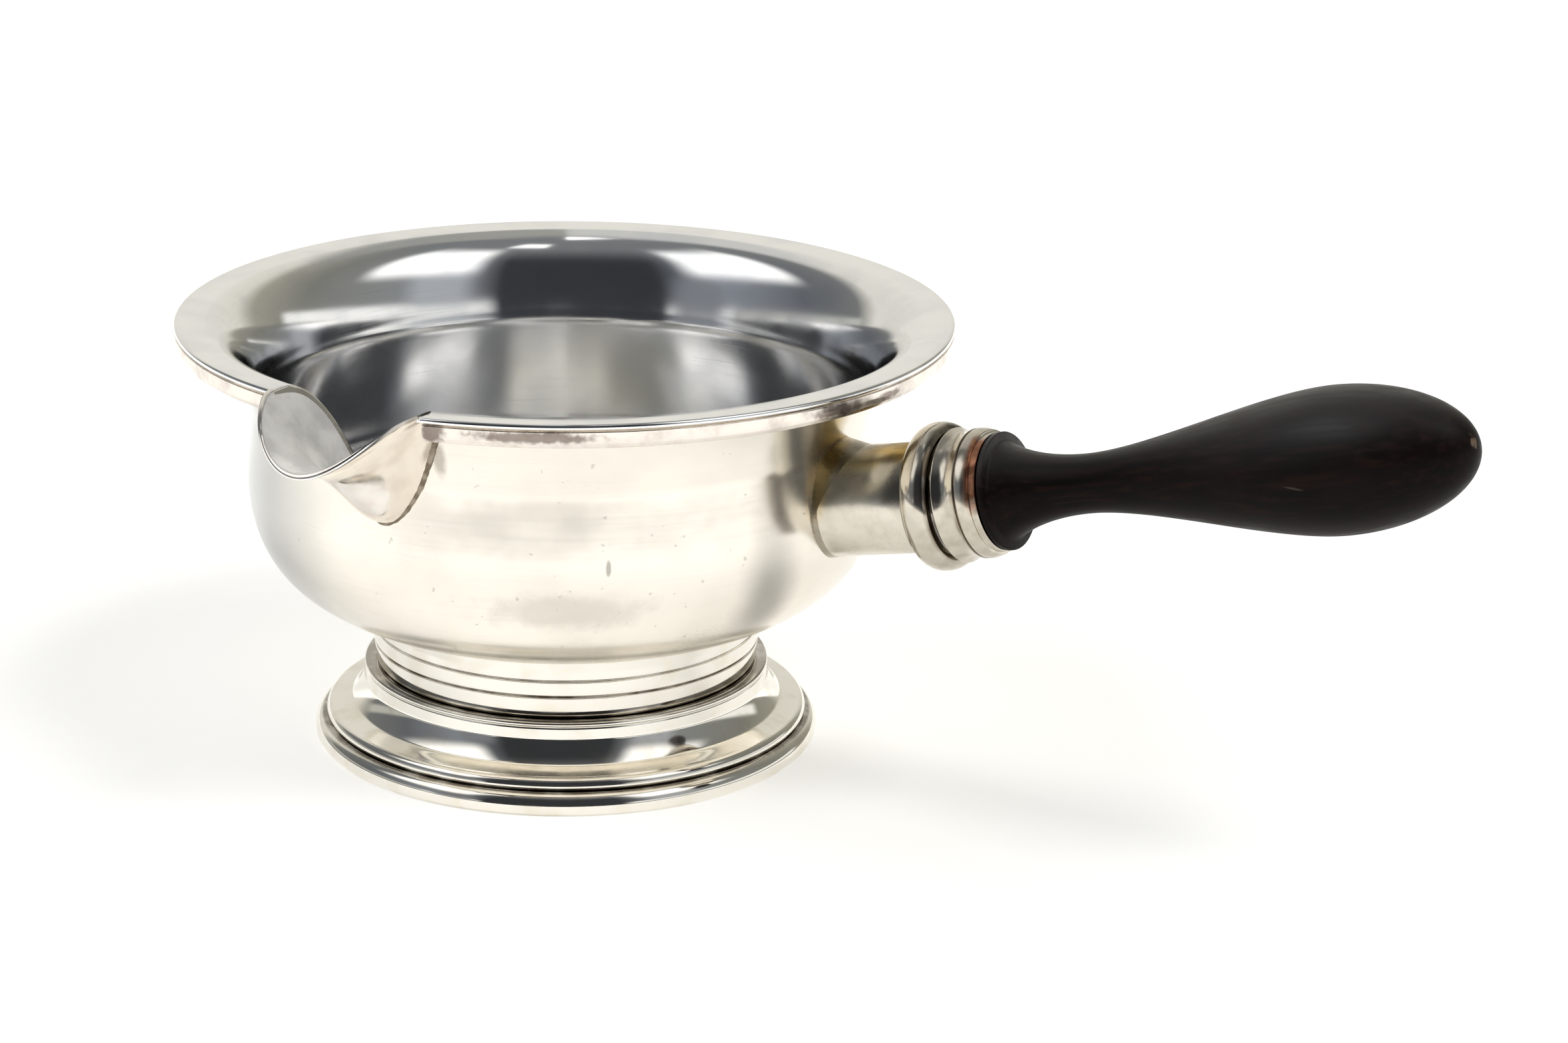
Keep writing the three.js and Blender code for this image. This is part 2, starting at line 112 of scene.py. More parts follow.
# Socket, ferrule and handle, along their axis from the socket's mouth
SOCKET_R = 9.0
SOCKET_REACH = 20.6
SOCKET_MOUTH_H = 30.4
SOCKET_TILT = math.radians(12)
SOCKET_WALL = 1.2
SOCKET_DEPTH = 12.0
SOCKET_SUNK = 0.35
FILLET_BELOW = 0.25
FILLET_ABOVE = 1.5
FILLET_REACH = 3.0
SOCKET_RING_R = 12.05
SOCKET_RING_EDGE_R = 10.2
SOCKET_RING_W = 4.9
HANDLE_TILT = math.radians(14.25)
FERRULE_R = 10.9
FERRULE_COVE_W = 4.1
FERRULE_COVE_DEPTH = 0.5
FERRULE_BEAD_R = 10.5
FERRULE_BEAD_W = 2.3
FERRULE_MOUTH_R = 9.6
FERRULE_MOUTH_W = 1.0
FERRULE_CUP_R = 8.2
STUD_R = 2.4
WOOD_SHOULDER_R = 9.5
WOOD_SHOULDER_W = 0.9
WOOD_COVE_R = 8.0
WOOD_NECK_R = 4.75
WOOD_NECK_AT = 15.2
WOOD_GRIP_R = 11.55
WOOD_GRIP_AT = 58.2
WOOD_LENGTH = 80.7

# Places of marks: above the waist, along and beside the socket, across the ferrule, and from the bowl's axis
FLARE_BUFFED_FROM = 3.0
SOCKET_GILT = (-9.0, 0, 8.6)
FERRULE_WORN = (-6.0, -7.8)
CHIP_AT = (160.6, -1.2, 77.4)
SCRATCH_AT = (135.7, -11.3, 68.1)

# Heights that follow from the stack, and the middle of the socket's mouth
foot_z = RING_H
collar_z = foot_z + FOOT_H
bowl_z = collar_z + COLLAR_H
belly_z = bowl_z + BELLY_H
waist_z = bowl_z + WAIST_H
rim_z = bowl_z + BOWL_H
mouth = np.array([BELLY_R + SOCKET_REACH, 0.0, bowl_z + SOCKET_MOUTH_H])
LIP_AT = LIP_TURN - math.pi / 2


# Curves and profiles, as arrays of [radius, height] or [radius, distance] rows

def mix(a, b, t):
    """Value that lies a share t of the way from a to b."""
    return a + (b - a) * t


def cubic(controls, n):
    """n + 1 points of the cubic curve through its four controls: the sum of each control times its weight."""
    t = np.linspace(0, 1, n + 1)[:, None]
    s = 1 - t
    weights = np.hstack([s ** 3, 3 * s * s * t, 3 * s * t * t, t ** 3])
    return weights @ np.array(controls, float)


def bow(a, b, n, depth):
    """Straight line from a to b, bowed inwards by depth times the sine of half a turn."""
    t = np.linspace(0, 1, n + 1)[:, None]
    line = mix(np.array(a, float), np.array(b, float), t)
    line[:, 0] -= depth * np.sin(t[:, 0] * math.pi)
    return line


def run_along(path):
    """Length of the path up to each of its points."""
    return np.r_[0, np.cumsum(np.linalg.norm(np.diff(path, axis=0), axis=1))]


def heading(path):
    """Unit direction of the path at each of its points, between its neighbours."""
    ahead = np.gradient(path, axis=0)
    return ahead / np.linalg.norm(ahead, axis=1)[:, None]


def resampled(profile, step):
    """The same polyline with points at equal steps of its length."""
    length = run_along(profile)
    s = np.linspace(0, length[-1], max(int(length[-1] / step), 2) + 1)
    return np.column_stack([np.interp(s, length, profile[:, k]) for k in (0, 1)])


def eased(profile, radius, step=0.12):
    """The profile with its corners rounded: equal steps, then each point is the mean of those within the
    radius, and a run of points near each end keeps a smaller mean, so that the ends stay."""
    fine = resampled(profile, step)
    i = np.arange(len(fine))
    reach = np.minimum(np.minimum(i, i[::-1]), max(int(radius / step), 1))
    sums = np.vstack([[0, 0], np.cumsum(fine, axis=0)])
    return (sums[i + reach + 1] - sums[i - reach]) / (2 * reach + 1)[:, None]


def offset(profile, d):
    """The profile moved by d to its left as it runs, along the normal between its neighbours."""
    ahead = heading(profile)
    return profile + d * np.column_stack([-ahead[:, 1], ahead[:, 0]])


# Meshes

def mesh_piece(name, points, faces, uv, slots=None):
    """A smooth mesh from points in millimetres about the bowl's axis, with a row of uv for each point."""
    mesh = bpy.data.meshes.new(name)
    mesh.from_pydata(((points.reshape(-1, 3) + AXIS) * MM).tolist(), [], faces)
    corners = np.empty(len(mesh.loops), int)
    mesh.loops.foreach_get("vertex_index", corners)
    layer = mesh.uv_layers.new(name="mm")
    layer.data.foreach_set("uv", uv[corners].ravel())
    if slots is not None:
        mesh.polygons.foreach_set("material_index", slots)
    mesh.polygons.foreach_set("use_smooth", np.ones(len(mesh.polygons), bool))
    mesh.update()
    piece = bpy.data.objects.new(name, mesh)
    bpy.context.scene.collection.objects.link(piece)
    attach(piece, "root")
    return piece


def grid_faces(rows, cols, wrap_rows=False, wrap_cols=False):
    """Quads between neighbours of a grid of points numbered row by row."""
    i = np.arange(rows if wrap_rows else rows - 1)[:, None]
    j = np.arange(cols if wrap_cols else cols - 1)[None, :]
    a = i * cols + j
    b = i * cols + (j + 1) % cols
    c = (i + 1) % rows * cols + (j + 1) % cols
    d = (i + 1) % rows * cols + j
    return np.stack([a, b, c, d], axis=-1).reshape(-1, 4)


def grid_uv(across, along):
    """UV of a grid's points in millimetres: across is given per column or point, and along per row."""
    return np.stack(np.broadcast_arrays(across, along[:, None]), axis=-1).reshape(-1, 2)


def round_points(r, z, angle, place=None):
    """Points (r cos a, r sin a, z) of arrays that broadcast together. place is a tilted axis's matrix."""
    points = np.stack(np.broadcast_arrays(r * np.cos(angle), r * np.sin(angle), z), axis=-1)
    if place is not None:
        points = points @ place[:3, :3].T + place[:3, 3]
    return points


def turned(name, profile, steps, closed=True, place=None):
    """A profile turned about its axis. A closed one joins its last row to its first, an open one starts and
    ends on the axis. place is the matrix of a tilted axis."""
    angle = np.linspace(0, 2 * math.pi, steps, endpoint=False)
    points = round_points(profile[:, :1], profile[:, 1:], angle, place)
    uv = grid_uv(angle * profile[:, 0].max(), run_along(profile))
    faces = grid_faces(len(profile), steps, wrap_rows=closed, wrap_cols=True)
    return mesh_piece(name, points, faces.tolist(), uv)


def about_z(angle):
    """Matrix that turns rows of points about +Z."""
    c, s = math.cos(angle), math.sin(angle)
    return np.array([(c, s, 0), (-s, c, 0), (0, 0, 1)])


def tilted(tilt):
    """Matrix that lays +Z along an axis out of the socket's mouth, a tilt above the table."""
    c, s = math.cos(tilt), math.sin(tilt)
    place = np.eye(4)
    place[:3, 0] = [s, 0, -c]
    place[:3, 1] = [0, 1, 0]
    place[:3, 2] = [c, 0, s]
    place[:3, 3] = mouth
    return place


# Bowl

def bowl_outside():
    """Belly as a cubic, wall as a straight line with a quarter of a smoothstep in it, flare as a lean plus
    a quarter of a superellipse."""
    belly = cubic([
        (SEAT_R, bowl_z),
        (SEAT_R + BELLY_SPREAD, bowl_z + BELLY_LIFT),
        (BELLY_R, belly_z - BELLY_ROUND),
        (BELLY_R, belly_z),
    ], 60)
    t = np.linspace(0, 1, 25)[1:]
    fall = mix(t, t * t * (3 - 2 * t), 0.25)
    wall = np.column_stack([mix(BELLY_R, WAIST_R, fall), mix(belly_z, waist_z, t)])
    turn = np.linspace(0, np.pi / 2, 61)[1:]
    t = np.sin(turn) ** (2 / FLARE_POWER)
    out = mix(1 - np.maximum(np.cos(turn), 0) ** (2 / FLARE_POWER), t, FLARE_LEAN)
    flare = np.column_stack([mix(WAIST_R, RIM_R, out), mix(waist_z, rim_z - RIM_EDGE, t)])
    return np.vstack([belly, wall, flare])


outside = eased(bowl_outside(), 0.9, 0.5)


def bowl_inside():
    """The outside moved in by the sheet. Its wall is turned straight between two heights, and a smoothstep
    carries each end of the straight into the curve."""
    skin = offset(outside, SHEET)
    z = skin[:, 1]
    low, high = bowl_z + WALL_LOW_H, bowl_z + WALL_HIGH_H
    straight = np.interp(z, [low, high], [WALL_LOW_R, WALL_HIGH_R])
    share = np.clip((z - low) / WALL_BLEND + 1, 0, 1) * np.clip((high - z) / WALL_BLEND + 1, 0, 1)
    skin[:, 0] = mix(skin[:, 0], straight, share * share * (3 - 2 * share))
    return skin


inside = bowl_inside()


def outside_radius(z):
    """Outer radius of the bowl at a height on its wall or flare."""
    return np.interp(z, outside[:, 1], outside[:, 0], right=RIM_R)


def inside_radius(z):
    """Inner radius of the bowl at a height on its wall or flare."""
    return np.interp(z, inside[:, 1], inside[:, 0], right=RIM_R - RIM_EDGE)


drop_z = rim_z - LIP_SEAM_H


def seam_half(z):
    """Half the width of the lip's seam at a height: a root part that opens at the drop and a cubic part at
    the rim."""
    b = np.clip((z - drop_z) / LIP_SEAM_H, 0, 1)
    return (LIP_HALF_W - LIP_FLARE_W) * np.sqrt(b) + LIP_FLARE_W * b ** 3


def lip_inset(b):
    """Thickness of the lip's sheet: it thins out from the drop, at b = 0, to the free edge, at b = 1."""
    return mix(LIP_SHEET_AT_DROP, LIP_SHEET, b)


def notch_half(z):
    """Half the width of the notch in the bowl: the seam less the lip's sheet."""
    b = np.clip((z - drop_z) / LIP_SEAM_H, 0, 1)
    return np.maximum(seam_half(z) - lip_inset(b), 0)


def bowl(steps=368):
    """Grid of the sheet's profile against the angle, where each row runs round from one side of the notch
    to the other: angle = notch + (full turn - 2 notch) v, from the lip's plane."""
    # Rounded edge of the rim
    edge = np.array([
        (RIM_R, rim_z - 0.45),
        (RIM_R - 0.12, rim_z - 0.12),
        (RIM_R - 0.45, rim_z),
        (RIM_R - 0.8, rim_z - 0.03),
    ])
    keep = inside[:, 1] < rim_z - 0.12
    profile = np.vstack([[(0.0, bowl_z)], outside, edge, inside[keep][::-1], [(0.0, bowl_z + SHEET)]])
    r, z = profile[:, :1], profile[:, 1:]
    gap = np.arcsin(notch_half(z) / np.maximum(r, 1))
    angle = LIP_AT + gap + (2 * math.pi - 2 * gap) * np.linspace(0, 1, steps + 1)
    points = round_points(r, z, angle)
    uv = grid_uv(angle * BELLY_R, run_along(profile))
    row = np.repeat(np.arange(len(profile) - 1), steps)
    # Cut edges of the notch: outer and inner rows of one height are joined on both sides
    above = np.where(notch_half(outside[:, 1]) > 0)[0]
    inner_row = len(profile) - 2 - np.arange(len(inside))
    i = above[:-1]
    i = i[inner_row[i + 1] > len(outside) + len(edge)]
    cut = np.column_stack([i + 1, i + 2, inner_row[i + 1], inner_row[i]]) * (steps + 1)
    faces = np.vstack([grid_faces(len(profile), steps + 1), cut, cut[:, ::-1] + steps])
    slots = np.r_[row >= len(outside), np.zeros(2 * len(cut), bool)].astype(int)
    piece = mesh_piece("bowl_sheet", points, faces.tolist(), uv, slots)
    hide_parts("bowl")
    return piece


def rim_band(steps=320):
    """Band profile carried round the rim between the two ends at the lip."""
    top = rim_z - RIM_EDGE - GAP
    bottom = top - BAND_H
    inner = RIM_R - BAND_THICKNESS
    under = np.interp(inner, *offset(outside, -GAP)[-40:].T)
    profile = eased(np.array([
        (inner, under),
        (inner, bottom + 0.1),
        (RIM_R - 0.7, bottom),
        (RIM_R - 0.15, bottom + 0.75),
        (RIM_R, bottom + 1.6),
        (RIM_R, top),
        (inner + 0.02, under + 0.02),
    ]), 0.15)[:-1]
    half = math.asin((LIP_HALF_W + GAP) / RIM_R)
    angle = np.linspace(LIP_AT + half, LIP_AT + 2 * math.pi - half, steps + 1)
    points = round_points(profile[:, :1], profile[:, 1:], angle)
    uv = grid_uv(angle * RIM_R, run_along(profile))
    faces = grid_faces(len(profile), steps + 1, wrap_rows=True).tolist()
    rows = np.arange(len(profile)) * (steps + 1)
    faces += [rows[::-1].tolist(), (rows + steps).tolist()]
    piece = mesh_piece("rim_wire_band", points, faces, uv)
    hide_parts("rim_band")
    return piece


# Pouring lip

tip_v = math.sqrt(RIM_R ** 2 - LIP_HALF_W ** 2) + LIP_REACH
tip_z = rim_z - LIP_DIP
drop_v = float(outside_radius(drop_z))
KEEL = [
    (drop_v, drop_z),
    (mix(drop_v, tip_v, 0.29), mix(drop_z, tip_z, 0.12)),
    (mix(drop_v, tip_v, 0.5), mix(drop_z, tip_z, 0.98)),
    (tip_v, tip_z),
]


def lip_sections(b, inset, turn):
    """Sections of the lip, one row per height b: from the seam, each point goes out to the keel by powers
    of the cosine of its turn, and across by its sine, with a bulge near the free edge."""
    b, inset = b[:, None], inset[:, None]
    z = drop_z + LIP_SEAM_H * b
    half = np.maximum(seam_half(z) - inset, 0.02)
    seam_v = np.sqrt(outside_radius(z) ** 2 - seam_half(z) ** 2)
    fine = cubic(KEEL, 400)
    at = np.linspace(0, 1, 401)
    ahead = heading(fine)
    keel_v = np.interp(b, at, fine[:, 0]) - inset * np.interp(b, at, ahead[:, 1])
    keel_z = np.interp(b, at, fine[:, 1]) + inset * np.interp(b, at, ahead[:, 0])
    c = np.maximum(np.cos(turn), 0)[None, :]
    s = np.sin(turn)[None, :]
    across = half * s * (1 + LIP_BULGE * b * c * c)
    out = mix(seam_v, keel_v, c ** (1 + LIP_SIDE_POWER * b))
    up = mix(z, keel_z, c ** (1 + LIP_DIP_POWER * b))
    return np.stack([across + 0 * out, -out, up], axis=-1)


def pouring_lip(rows=90, cols=120):
    """Closed sheet: outer sections round to inner sections, which run back to the bowl's inner wall."""
    turn = np.linspace(-math.pi / 2, math.pi / 2, cols)
    t = np.linspace(0, 1, rows) ** 1.3
    b_out = mix(LIP_OUTER_FROM, 1, t)
    b_in = mix(LIP_INNER_FROM, 1, t)
    outer = lip_sections(b_out, np.zeros(rows), turn)
    inner = lip_sections(b_in, lip_inset(b_in), turn)
    z = inner[:, :1, 2]
    u = np.abs(inner[:, :1, 0])
    wall = np.sqrt(np.maximum(inside_radius(z) ** 2 - u ** 2, 1))
    side = 5
    back_v = mix(-inner[:, :1, 1], wall, np.linspace(1, 0, side + 1)[:-1])
    left = np.stack([-u + 0 * back_v, -back_v, z + 0 * back_v], axis=-1)
    right = left[:, ::-1] * [-1, 1, 1]
    loop = np.concatenate([outer, right, inner[:, ::-1], left[:, ::-1]], axis=1)
    n = loop.shape[1]
    points = loop.reshape(-1, 3)
    # Free edge, rounded by a raised middle row, then the ends of the edge and the small bottom face
    last = (rows - 1) * n
    base = len(points)
    middle = (outer[-1] + inner[-1]) / 2 + [0, 0, LIP_EDGE_ROUND]
    points = np.vstack([points, middle]) @ about_z(LIP_TURN)
    inner_at = cols + side
    inner_end = last + inner_at + cols - 1
    j = np.arange(cols - 1)
    faces = np.vstack([
        grid_faces(rows, n, wrap_cols=True)[:, ::-1],
        np.column_stack([last + j, last + j + 1, base + j + 1, base + j]),
        np.column_stack([base + j, base + j + 1, inner_end - 1 - j, inner_end - j]),
    ]).tolist()
    faces.append([*range(last + cols - 1, last + inner_at + 1), base + cols - 1])
    faces.append([last, base, *range(inner_end, last + n)])
    faces.append([*range(n)])
    # UV about as large as the lip: 60 mm round its section, 40 mm up
    run = np.linspace(0, 60, n)
    uv = np.vstack([grid_uv(run, t * 40), grid_uv(run[:cols], np.array([40.0]))])
    column = np.tile(np.arange(n), rows - 1)
    slots = np.zeros(len(faces), int)
    slots[:len(column)] = (column >= inner_at) & (column < inner_at + cols - 1)
    piece = mesh_piece("lip_sheet", points, faces, uv, slots)
    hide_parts("pouring_lip")
    return piece


def solder_seam(steps=260, around=10):
    """Bead of solder along the seam: a tube carried down one side of the lip and up the other on the bowl's
    wall, with a radius that varies by sums of sines."""
    side = np.linspace(-1, 1, steps)
    b = 0.93 * side ** 2
    z = drop_z + LIP_SEAM_H * b
    across = np.sign(side) * seam_half(z)
    path = np.column_stack([across, -np.sqrt(outside_radius(z) ** 2 - across ** 2), z])
    outward = path * [1, 1, 0] / np.hypot(path[:, 0], path[:, 1])[:, None]
    beside = np.cross(heading(path), outward)
    beside /= np.linalg.norm(beside, axis=1)[:, None]
    run = run_along(path)
    lumps = 0.05 * np.sin(run * 1.9) * np.sin(run * 0.7 + 1) + 0.03 * np.sin(run * 4.3)
    radius = 0.42 + lumps + 0.35 * b * b
    radius[0] = radius[-1] = 0.05
    a = np.linspace(0, 2 * math.pi, around, endpoint=False)
    turn = a[None, :, None]
    section = np.cos(turn) * outward[:, None] + np.sin(turn) * beside[:, None]
    tube = path[:, None] + radius[:, None, None] * section
    faces = grid_faces(steps, around, wrap_cols=True).tolist()
    faces += [[*range(around)][::-1], [*range((steps - 1) * around, steps * around)]]
    return mesh_piece("solder_seam", tube @ about_z(LIP_TURN), faces, grid_uv(a, run))


# Foot

def foot_ring():
    """Half-round wire, flat underneath: an ellipse arc in front of a square back."""
    back = RING_R - RING_W
    a = np.linspace(-math.pi / 4, math.pi / 2, 40)
    lift = np.where(a < 0, RING_WIDEST_H * math.sqrt(2), RING_H - RING_WIDEST_H)
    front = np.column_stack([mix(FOOT_R, RING_R, np.cos(a)), RING_WIDEST_H + lift * np.sin(a)])
    profile = np.vstack([(back, 0), front, (back, RING_H)])
    piece = turned("foot_wire", profile, 320)
    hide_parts("foot_ring")
    return piece


def foot():
    """A groove, a round edge as an ellipse quarter, a low ledge and a hollow sweep as cubics, a straight
    neck and a bead."""
    shoulder_z = foot_z + SHOULDER_H
    shoulder_r = FOOT_R - SHOULDER_IN
    bead_z = collar_z - BEAD_H
    middle = foot_z + SHOULDER_H * 0.27
    a = np.linspace(0, math.pi / 2, 24)
    shoulder = np.column_stack([mix(shoulder_r, FOOT_R, np.cos(a)), mix(middle, shoulder_z, np.sin(a))])
    corner = (mix(NECK_R, shoulder_r, 0.44), mix(shoulder_z, bead_z, 0.126))
    brow = (mix(NECK_R, shoulder_r, 0.034), mix(shoulder_z, bead_z, 0.69))
    ledge = cubic([
        (shoulder_r, shoulder_z),
        (mix(corner[0], shoulder_r, 0.7), mix(shoulder_z, bead_z, 0.03)),
        (mix(corner[0], shoulder_r, 0.2), mix(shoulder_z, bead_z, 0.085)),
        corner,
    ], 24)[1:]
    sweep = cubic([
        corner,
        (mix(NECK_R, shoulder_r, 0.27), mix(shoulder_z, bead_z, 0.29)),
        (mix(NECK_R, shoulder_r, 0.13), mix(shoulder_z, bead_z, 0.485)),
        brow,
    ], 40)[1:]
    a = np.linspace(-math.pi / 2.4, math.pi / 2.2, 16)
    bead = np.column_stack([
        NECK_R - 0.35 + 0.5 * np.cos(a),
        mix(bead_z, collar_z, 0.5) + BEAD_H / 2 * np.sin(a),
    ])
    skin = np.vstack([[(FOOT_R - 0.35, foot_z)], shoulder, ledge, sweep, [(NECK_R, bead_z)], bead])
    inner = offset(skin[:-len(bead)], FOOT_SHEET)
    inner = inner[(inner[:, 1] > foot_z) & (inner[:, 1] < collar_z - FOOT_SHEET)]
    seat = COLLAR_R - COLLAR_WALL
    profile = np.vstack([
        [(FOOT_R - 0.35 - FOOT_SHEET, foot_z)],
        eased(skin, 0.25, 0.0625),
        [(seat, collar_z), (seat, collar_z - FOOT_SHEET)],
        inner[::-1],
    ])
    piece = turned("foot_ogee", profile, 312)
    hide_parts("foot")
    return piece


def foot_collar():
    """Cove, groove, flat band, fine groove and neck, each as a step in radius along the height."""
    steps = np.array([
        (COLLAR_R - 0.75, collar_z),
        (COLLAR_R - 0.45, collar_z + 0.5),
        (COLLAR_R - 0.1, collar_z + 3.0),
        (COLLAR_R - 0.05, collar_z + 3.55),
        (COLLAR_R - 0.5, collar_z + 3.75),
        (COLLAR_R - 0.5, collar_z + 3.85),
        (COLLAR_R - 0.05, collar_z + 4.05),
        (COLLAR_R, collar_z + 4.4),
        (COLLAR_R - 0.05, collar_z + 6.3),
        (COLLAR_R - 0.35, collar_z + 6.5),
        (COLLAR_R - 0.1, collar_z + 6.75),
        (COLLAR_R - 0.15, collar_z + 8.0),
        (COLLAR_R, bowl_z),
    ])
    profile = np.vstack([
        [(COLLAR_R - COLLAR_WALL, collar_z)],
        eased(steps, 0.08, 0.08),
        [(COLLAR_R - COLLAR_WALL, bowl_z)],
    ])
    piece = turned("collar_bands", profile, 320)
    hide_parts("foot_collar")
    return piece


# Socket and handle

def handle_socket(steps=160):
    """Tube whose rows start where each line along its side meets the bowl's wall, found by stepping towards
    it, with a fillet of solder that fades over a few millimetres."""
    place = tilted(SOCKET_TILT)
    angle = np.linspace(0, 2 * math.pi, steps, endpoint=False)
    fade = np.r_[np.linspace(0, 1, 14) ** 1.5 * 3.5, 6, 9, 30]
    lift = mix(FILLET_BELOW, FILLET_ABOVE, np.clip(-np.cos(angle), 0, 1) ** 2)
    radius = SOCKET_R + lift * np.maximum(1 - fade[:, None] / FILLET_REACH, 0) ** 2.2
    start = np.full(radius.shape, -SOCKET_REACH)
    for _ in range(12):
        at = round_points(radius, start, angle, place)
        start -= np.hypot(at[..., 0], at[..., 1]) - outside_radius(at[..., 2])
    along = np.minimum(start - SOCKET_SUNK + fade[:, None], 0)
    inner = round_points(SOCKET_R - SOCKET_WALL, np.array([[0], [-SOCKET_DEPTH]]), angle, place)
    points = np.concatenate([round_points(radius, along, angle, place), inner])
    uv = grid_uv(angle * SOCKET_R, np.r_[fade, 32, 44])
    faces = grid_faces(len(points), steps, wrap_rows=True, wrap_cols=True).tolist()
    piece = mesh_piece("socket_tube", points, faces, uv)
    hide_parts("handle_socket")
    return piece


def socket_ring():
    """Bead: half an ellipse on a short foot."""
    a = np.linspace(0, math.pi, 60)
    half = SOCKET_RING_W / 2
    front = np.column_stack([
        mix(SOCKET_RING_EDGE_R, SOCKET_RING_R, np.sin(a) ** 0.8),
        -half - half * np.cos(a),
    ])
    profile = np.vstack([[(SOCKET_R + 0.05, -SOCKET_RING_W)], front, [(SOCKET_R + 0.05, 0)]])
    piece = turned("socket_bead", profile, 192, place=tilted(SOCKET_TILT))
    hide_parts("socket_ring")
    return piece


ferrule_s = GAP + FERRULE_R * math.tan(HANDLE_TILT - SOCKET_TILT)
bead_s = ferrule_s + FERRULE_COVE_W
ferrule_mouth_s = bead_s + FERRULE_BEAD_W
ferrule_end_s = ferrule_mouth_s + FERRULE_MOUTH_W
wood_s = ferrule_end_s + GAP


def ferrule():
    """Cove between two edges, a fine groove, a bead that falls away, and the bared mouth."""
    cove = bow((FERRULE_R, ferrule_s + 0.3), (FERRULE_BEAD_R, bead_s - 0.15), 30, FERRULE_COVE_DEPTH)
    t = np.linspace(0, 1, 20)
    bead = np.column_stack([
        FERRULE_BEAD_R - FERRULE_COVE_DEPTH * t ** 2,
        mix(bead_s + 0.2, ferrule_mouth_s, t),
    ])
    skin = np.vstack([
        [(STUD_R + GAP, ferrule_s), (FERRULE_R - 0.2, ferrule_s)],
        cove,
        [(FERRULE_BEAD_R - 0.35, bead_s)],
        bead,
        [(FERRULE_MOUTH_R, ferrule_mouth_s + 0.05), (FERRULE_MOUTH_R - 0.1, ferrule_end_s)],
        [(FERRULE_CUP_R, ferrule_end_s)],
    ])
    cup_s = ferrule_end_s - 5
    profile = np.vstack([eased(skin, 0.1, 0.08), [(FERRULE_CUP_R, cup_s), (STUD_R + GAP, cup_s)]])
    piece = turned("ferrule_turned", profile, 192, place=tilted(HANDLE_TILT))
    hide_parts("ferrule")
    return piece


def handle():
    """Shoulder, cove down to the neck and swell to the grip as cubics, and half an ellipse to the tip."""
    cove_s = wood_s + WOOD_SHOULDER_W
    neck_s = wood_s + WOOD_NECK_AT
    grip_s = wood_s + WOOD_GRIP_AT
    tip = wood_s + WOOD_LENGTH
    cove = cubic([
        (WOOD_COVE_R, cove_s + 0.3),
        (mix(WOOD_NECK_R, WOOD_COVE_R, 0.5), mix(cove_s, neck_s, 0.18)),
        (WOOD_NECK_R, mix(cove_s, neck_s, 0.53)),
        (WOOD_NECK_R, neck_s),
    ], 60)
    swell = cubic([
        (WOOD_NECK_R, neck_s),
        (WOOD_NECK_R, mix(neck_s, grip_s, 0.27)),
        (WOOD_GRIP_R, mix(neck_s, grip_s, 0.73)),
        (WOOD_GRIP_R, grip_s),
    ], 90)[1:]
    a = np.linspace(0, math.pi / 2, 60)[1:]
    end = np.column_stack([WOOD_GRIP_R * np.cos(a), mix(grip_s, tip, np.sin(a))])
    end[-1, 0] = 0
    shoulder = np.array([
        (STUD_R + GAP, wood_s - 1.0),
        (STUD_R + GAP, wood_s - 1.1),
        (FERRULE_CUP_R - 0.3, wood_s - 1.1),
        (FERRULE_CUP_R - 0.3, wood_s),
        (WOOD_SHOULDER_R, wood_s),
        (WOOD_SHOULDER_R, cove_s),
    ])
    profile = np.vstack([[(0, wood_s - 1.0)], eased(np.vstack([shoulder, cove]), 0.2, 0.12), swell, end])
    piece = turned("handle_turned", profile, 192, closed=False, place=tilted(HANDLE_TILT))
    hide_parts("handle")
    return piece


# Materials

SMOOTH = {"interpolation_type": "SMOOTHSTEP"}
COLORS = {"data_type": "RGBA"}


def linear(code):
    """An sRGB hex colour as linear values with alpha 1."""
    parts = [int(code[i:i + 2], 16) / 255 for i in (0, 2, 4)]
    return [p / 12.92 if p <= 0.04045 else ((p + 0.055) / 1.055) ** 2.4 for p in parts] + [1]


def add(tree, kind, inputs=None, out=0, **settings):
    """Adds a node, sets its own settings, and gives its inputs values or links from other nodes' outputs.
    Inputs are named, or numbered where several share a name. Returns the named or numbered output."""
    node = tree.nodes.new("ShaderNode" + kind)
    for key, value in settings.items():
        setattr(node, key, value)
    for key, value in (inputs or {}).items():
        if isinstance(value, bpy.types.NodeSocket):
            tree.links.new(value, node.inputs[key])
        else:
            node.inputs[key].default_value = value
    return node.outputs[out]


def new_material(name, color, metallic, roughness):
    """A material with its constants set on the shader's own sockets. Returned with it are its node tree,
    those sockets and the Object coordinates of its piece."""
    material = bpy.data.materials.new(name)
    material.use_nodes = True
    tree = material.node_tree
    surface = tree.nodes["Principled BSDF"].inputs
    surface["Base Color"].default_value = linear(color)
    surface["Metallic"].default_value = metallic
    surface["Roughness"].default_value = roughness
    return material, tree, surface, add(tree, "TexCoord", out="Object")


def cells(size):
    """Texture scale, on coordinates in metres, that gives a pattern cells of a size in millimetres."""
    return 1 / (size * MM)


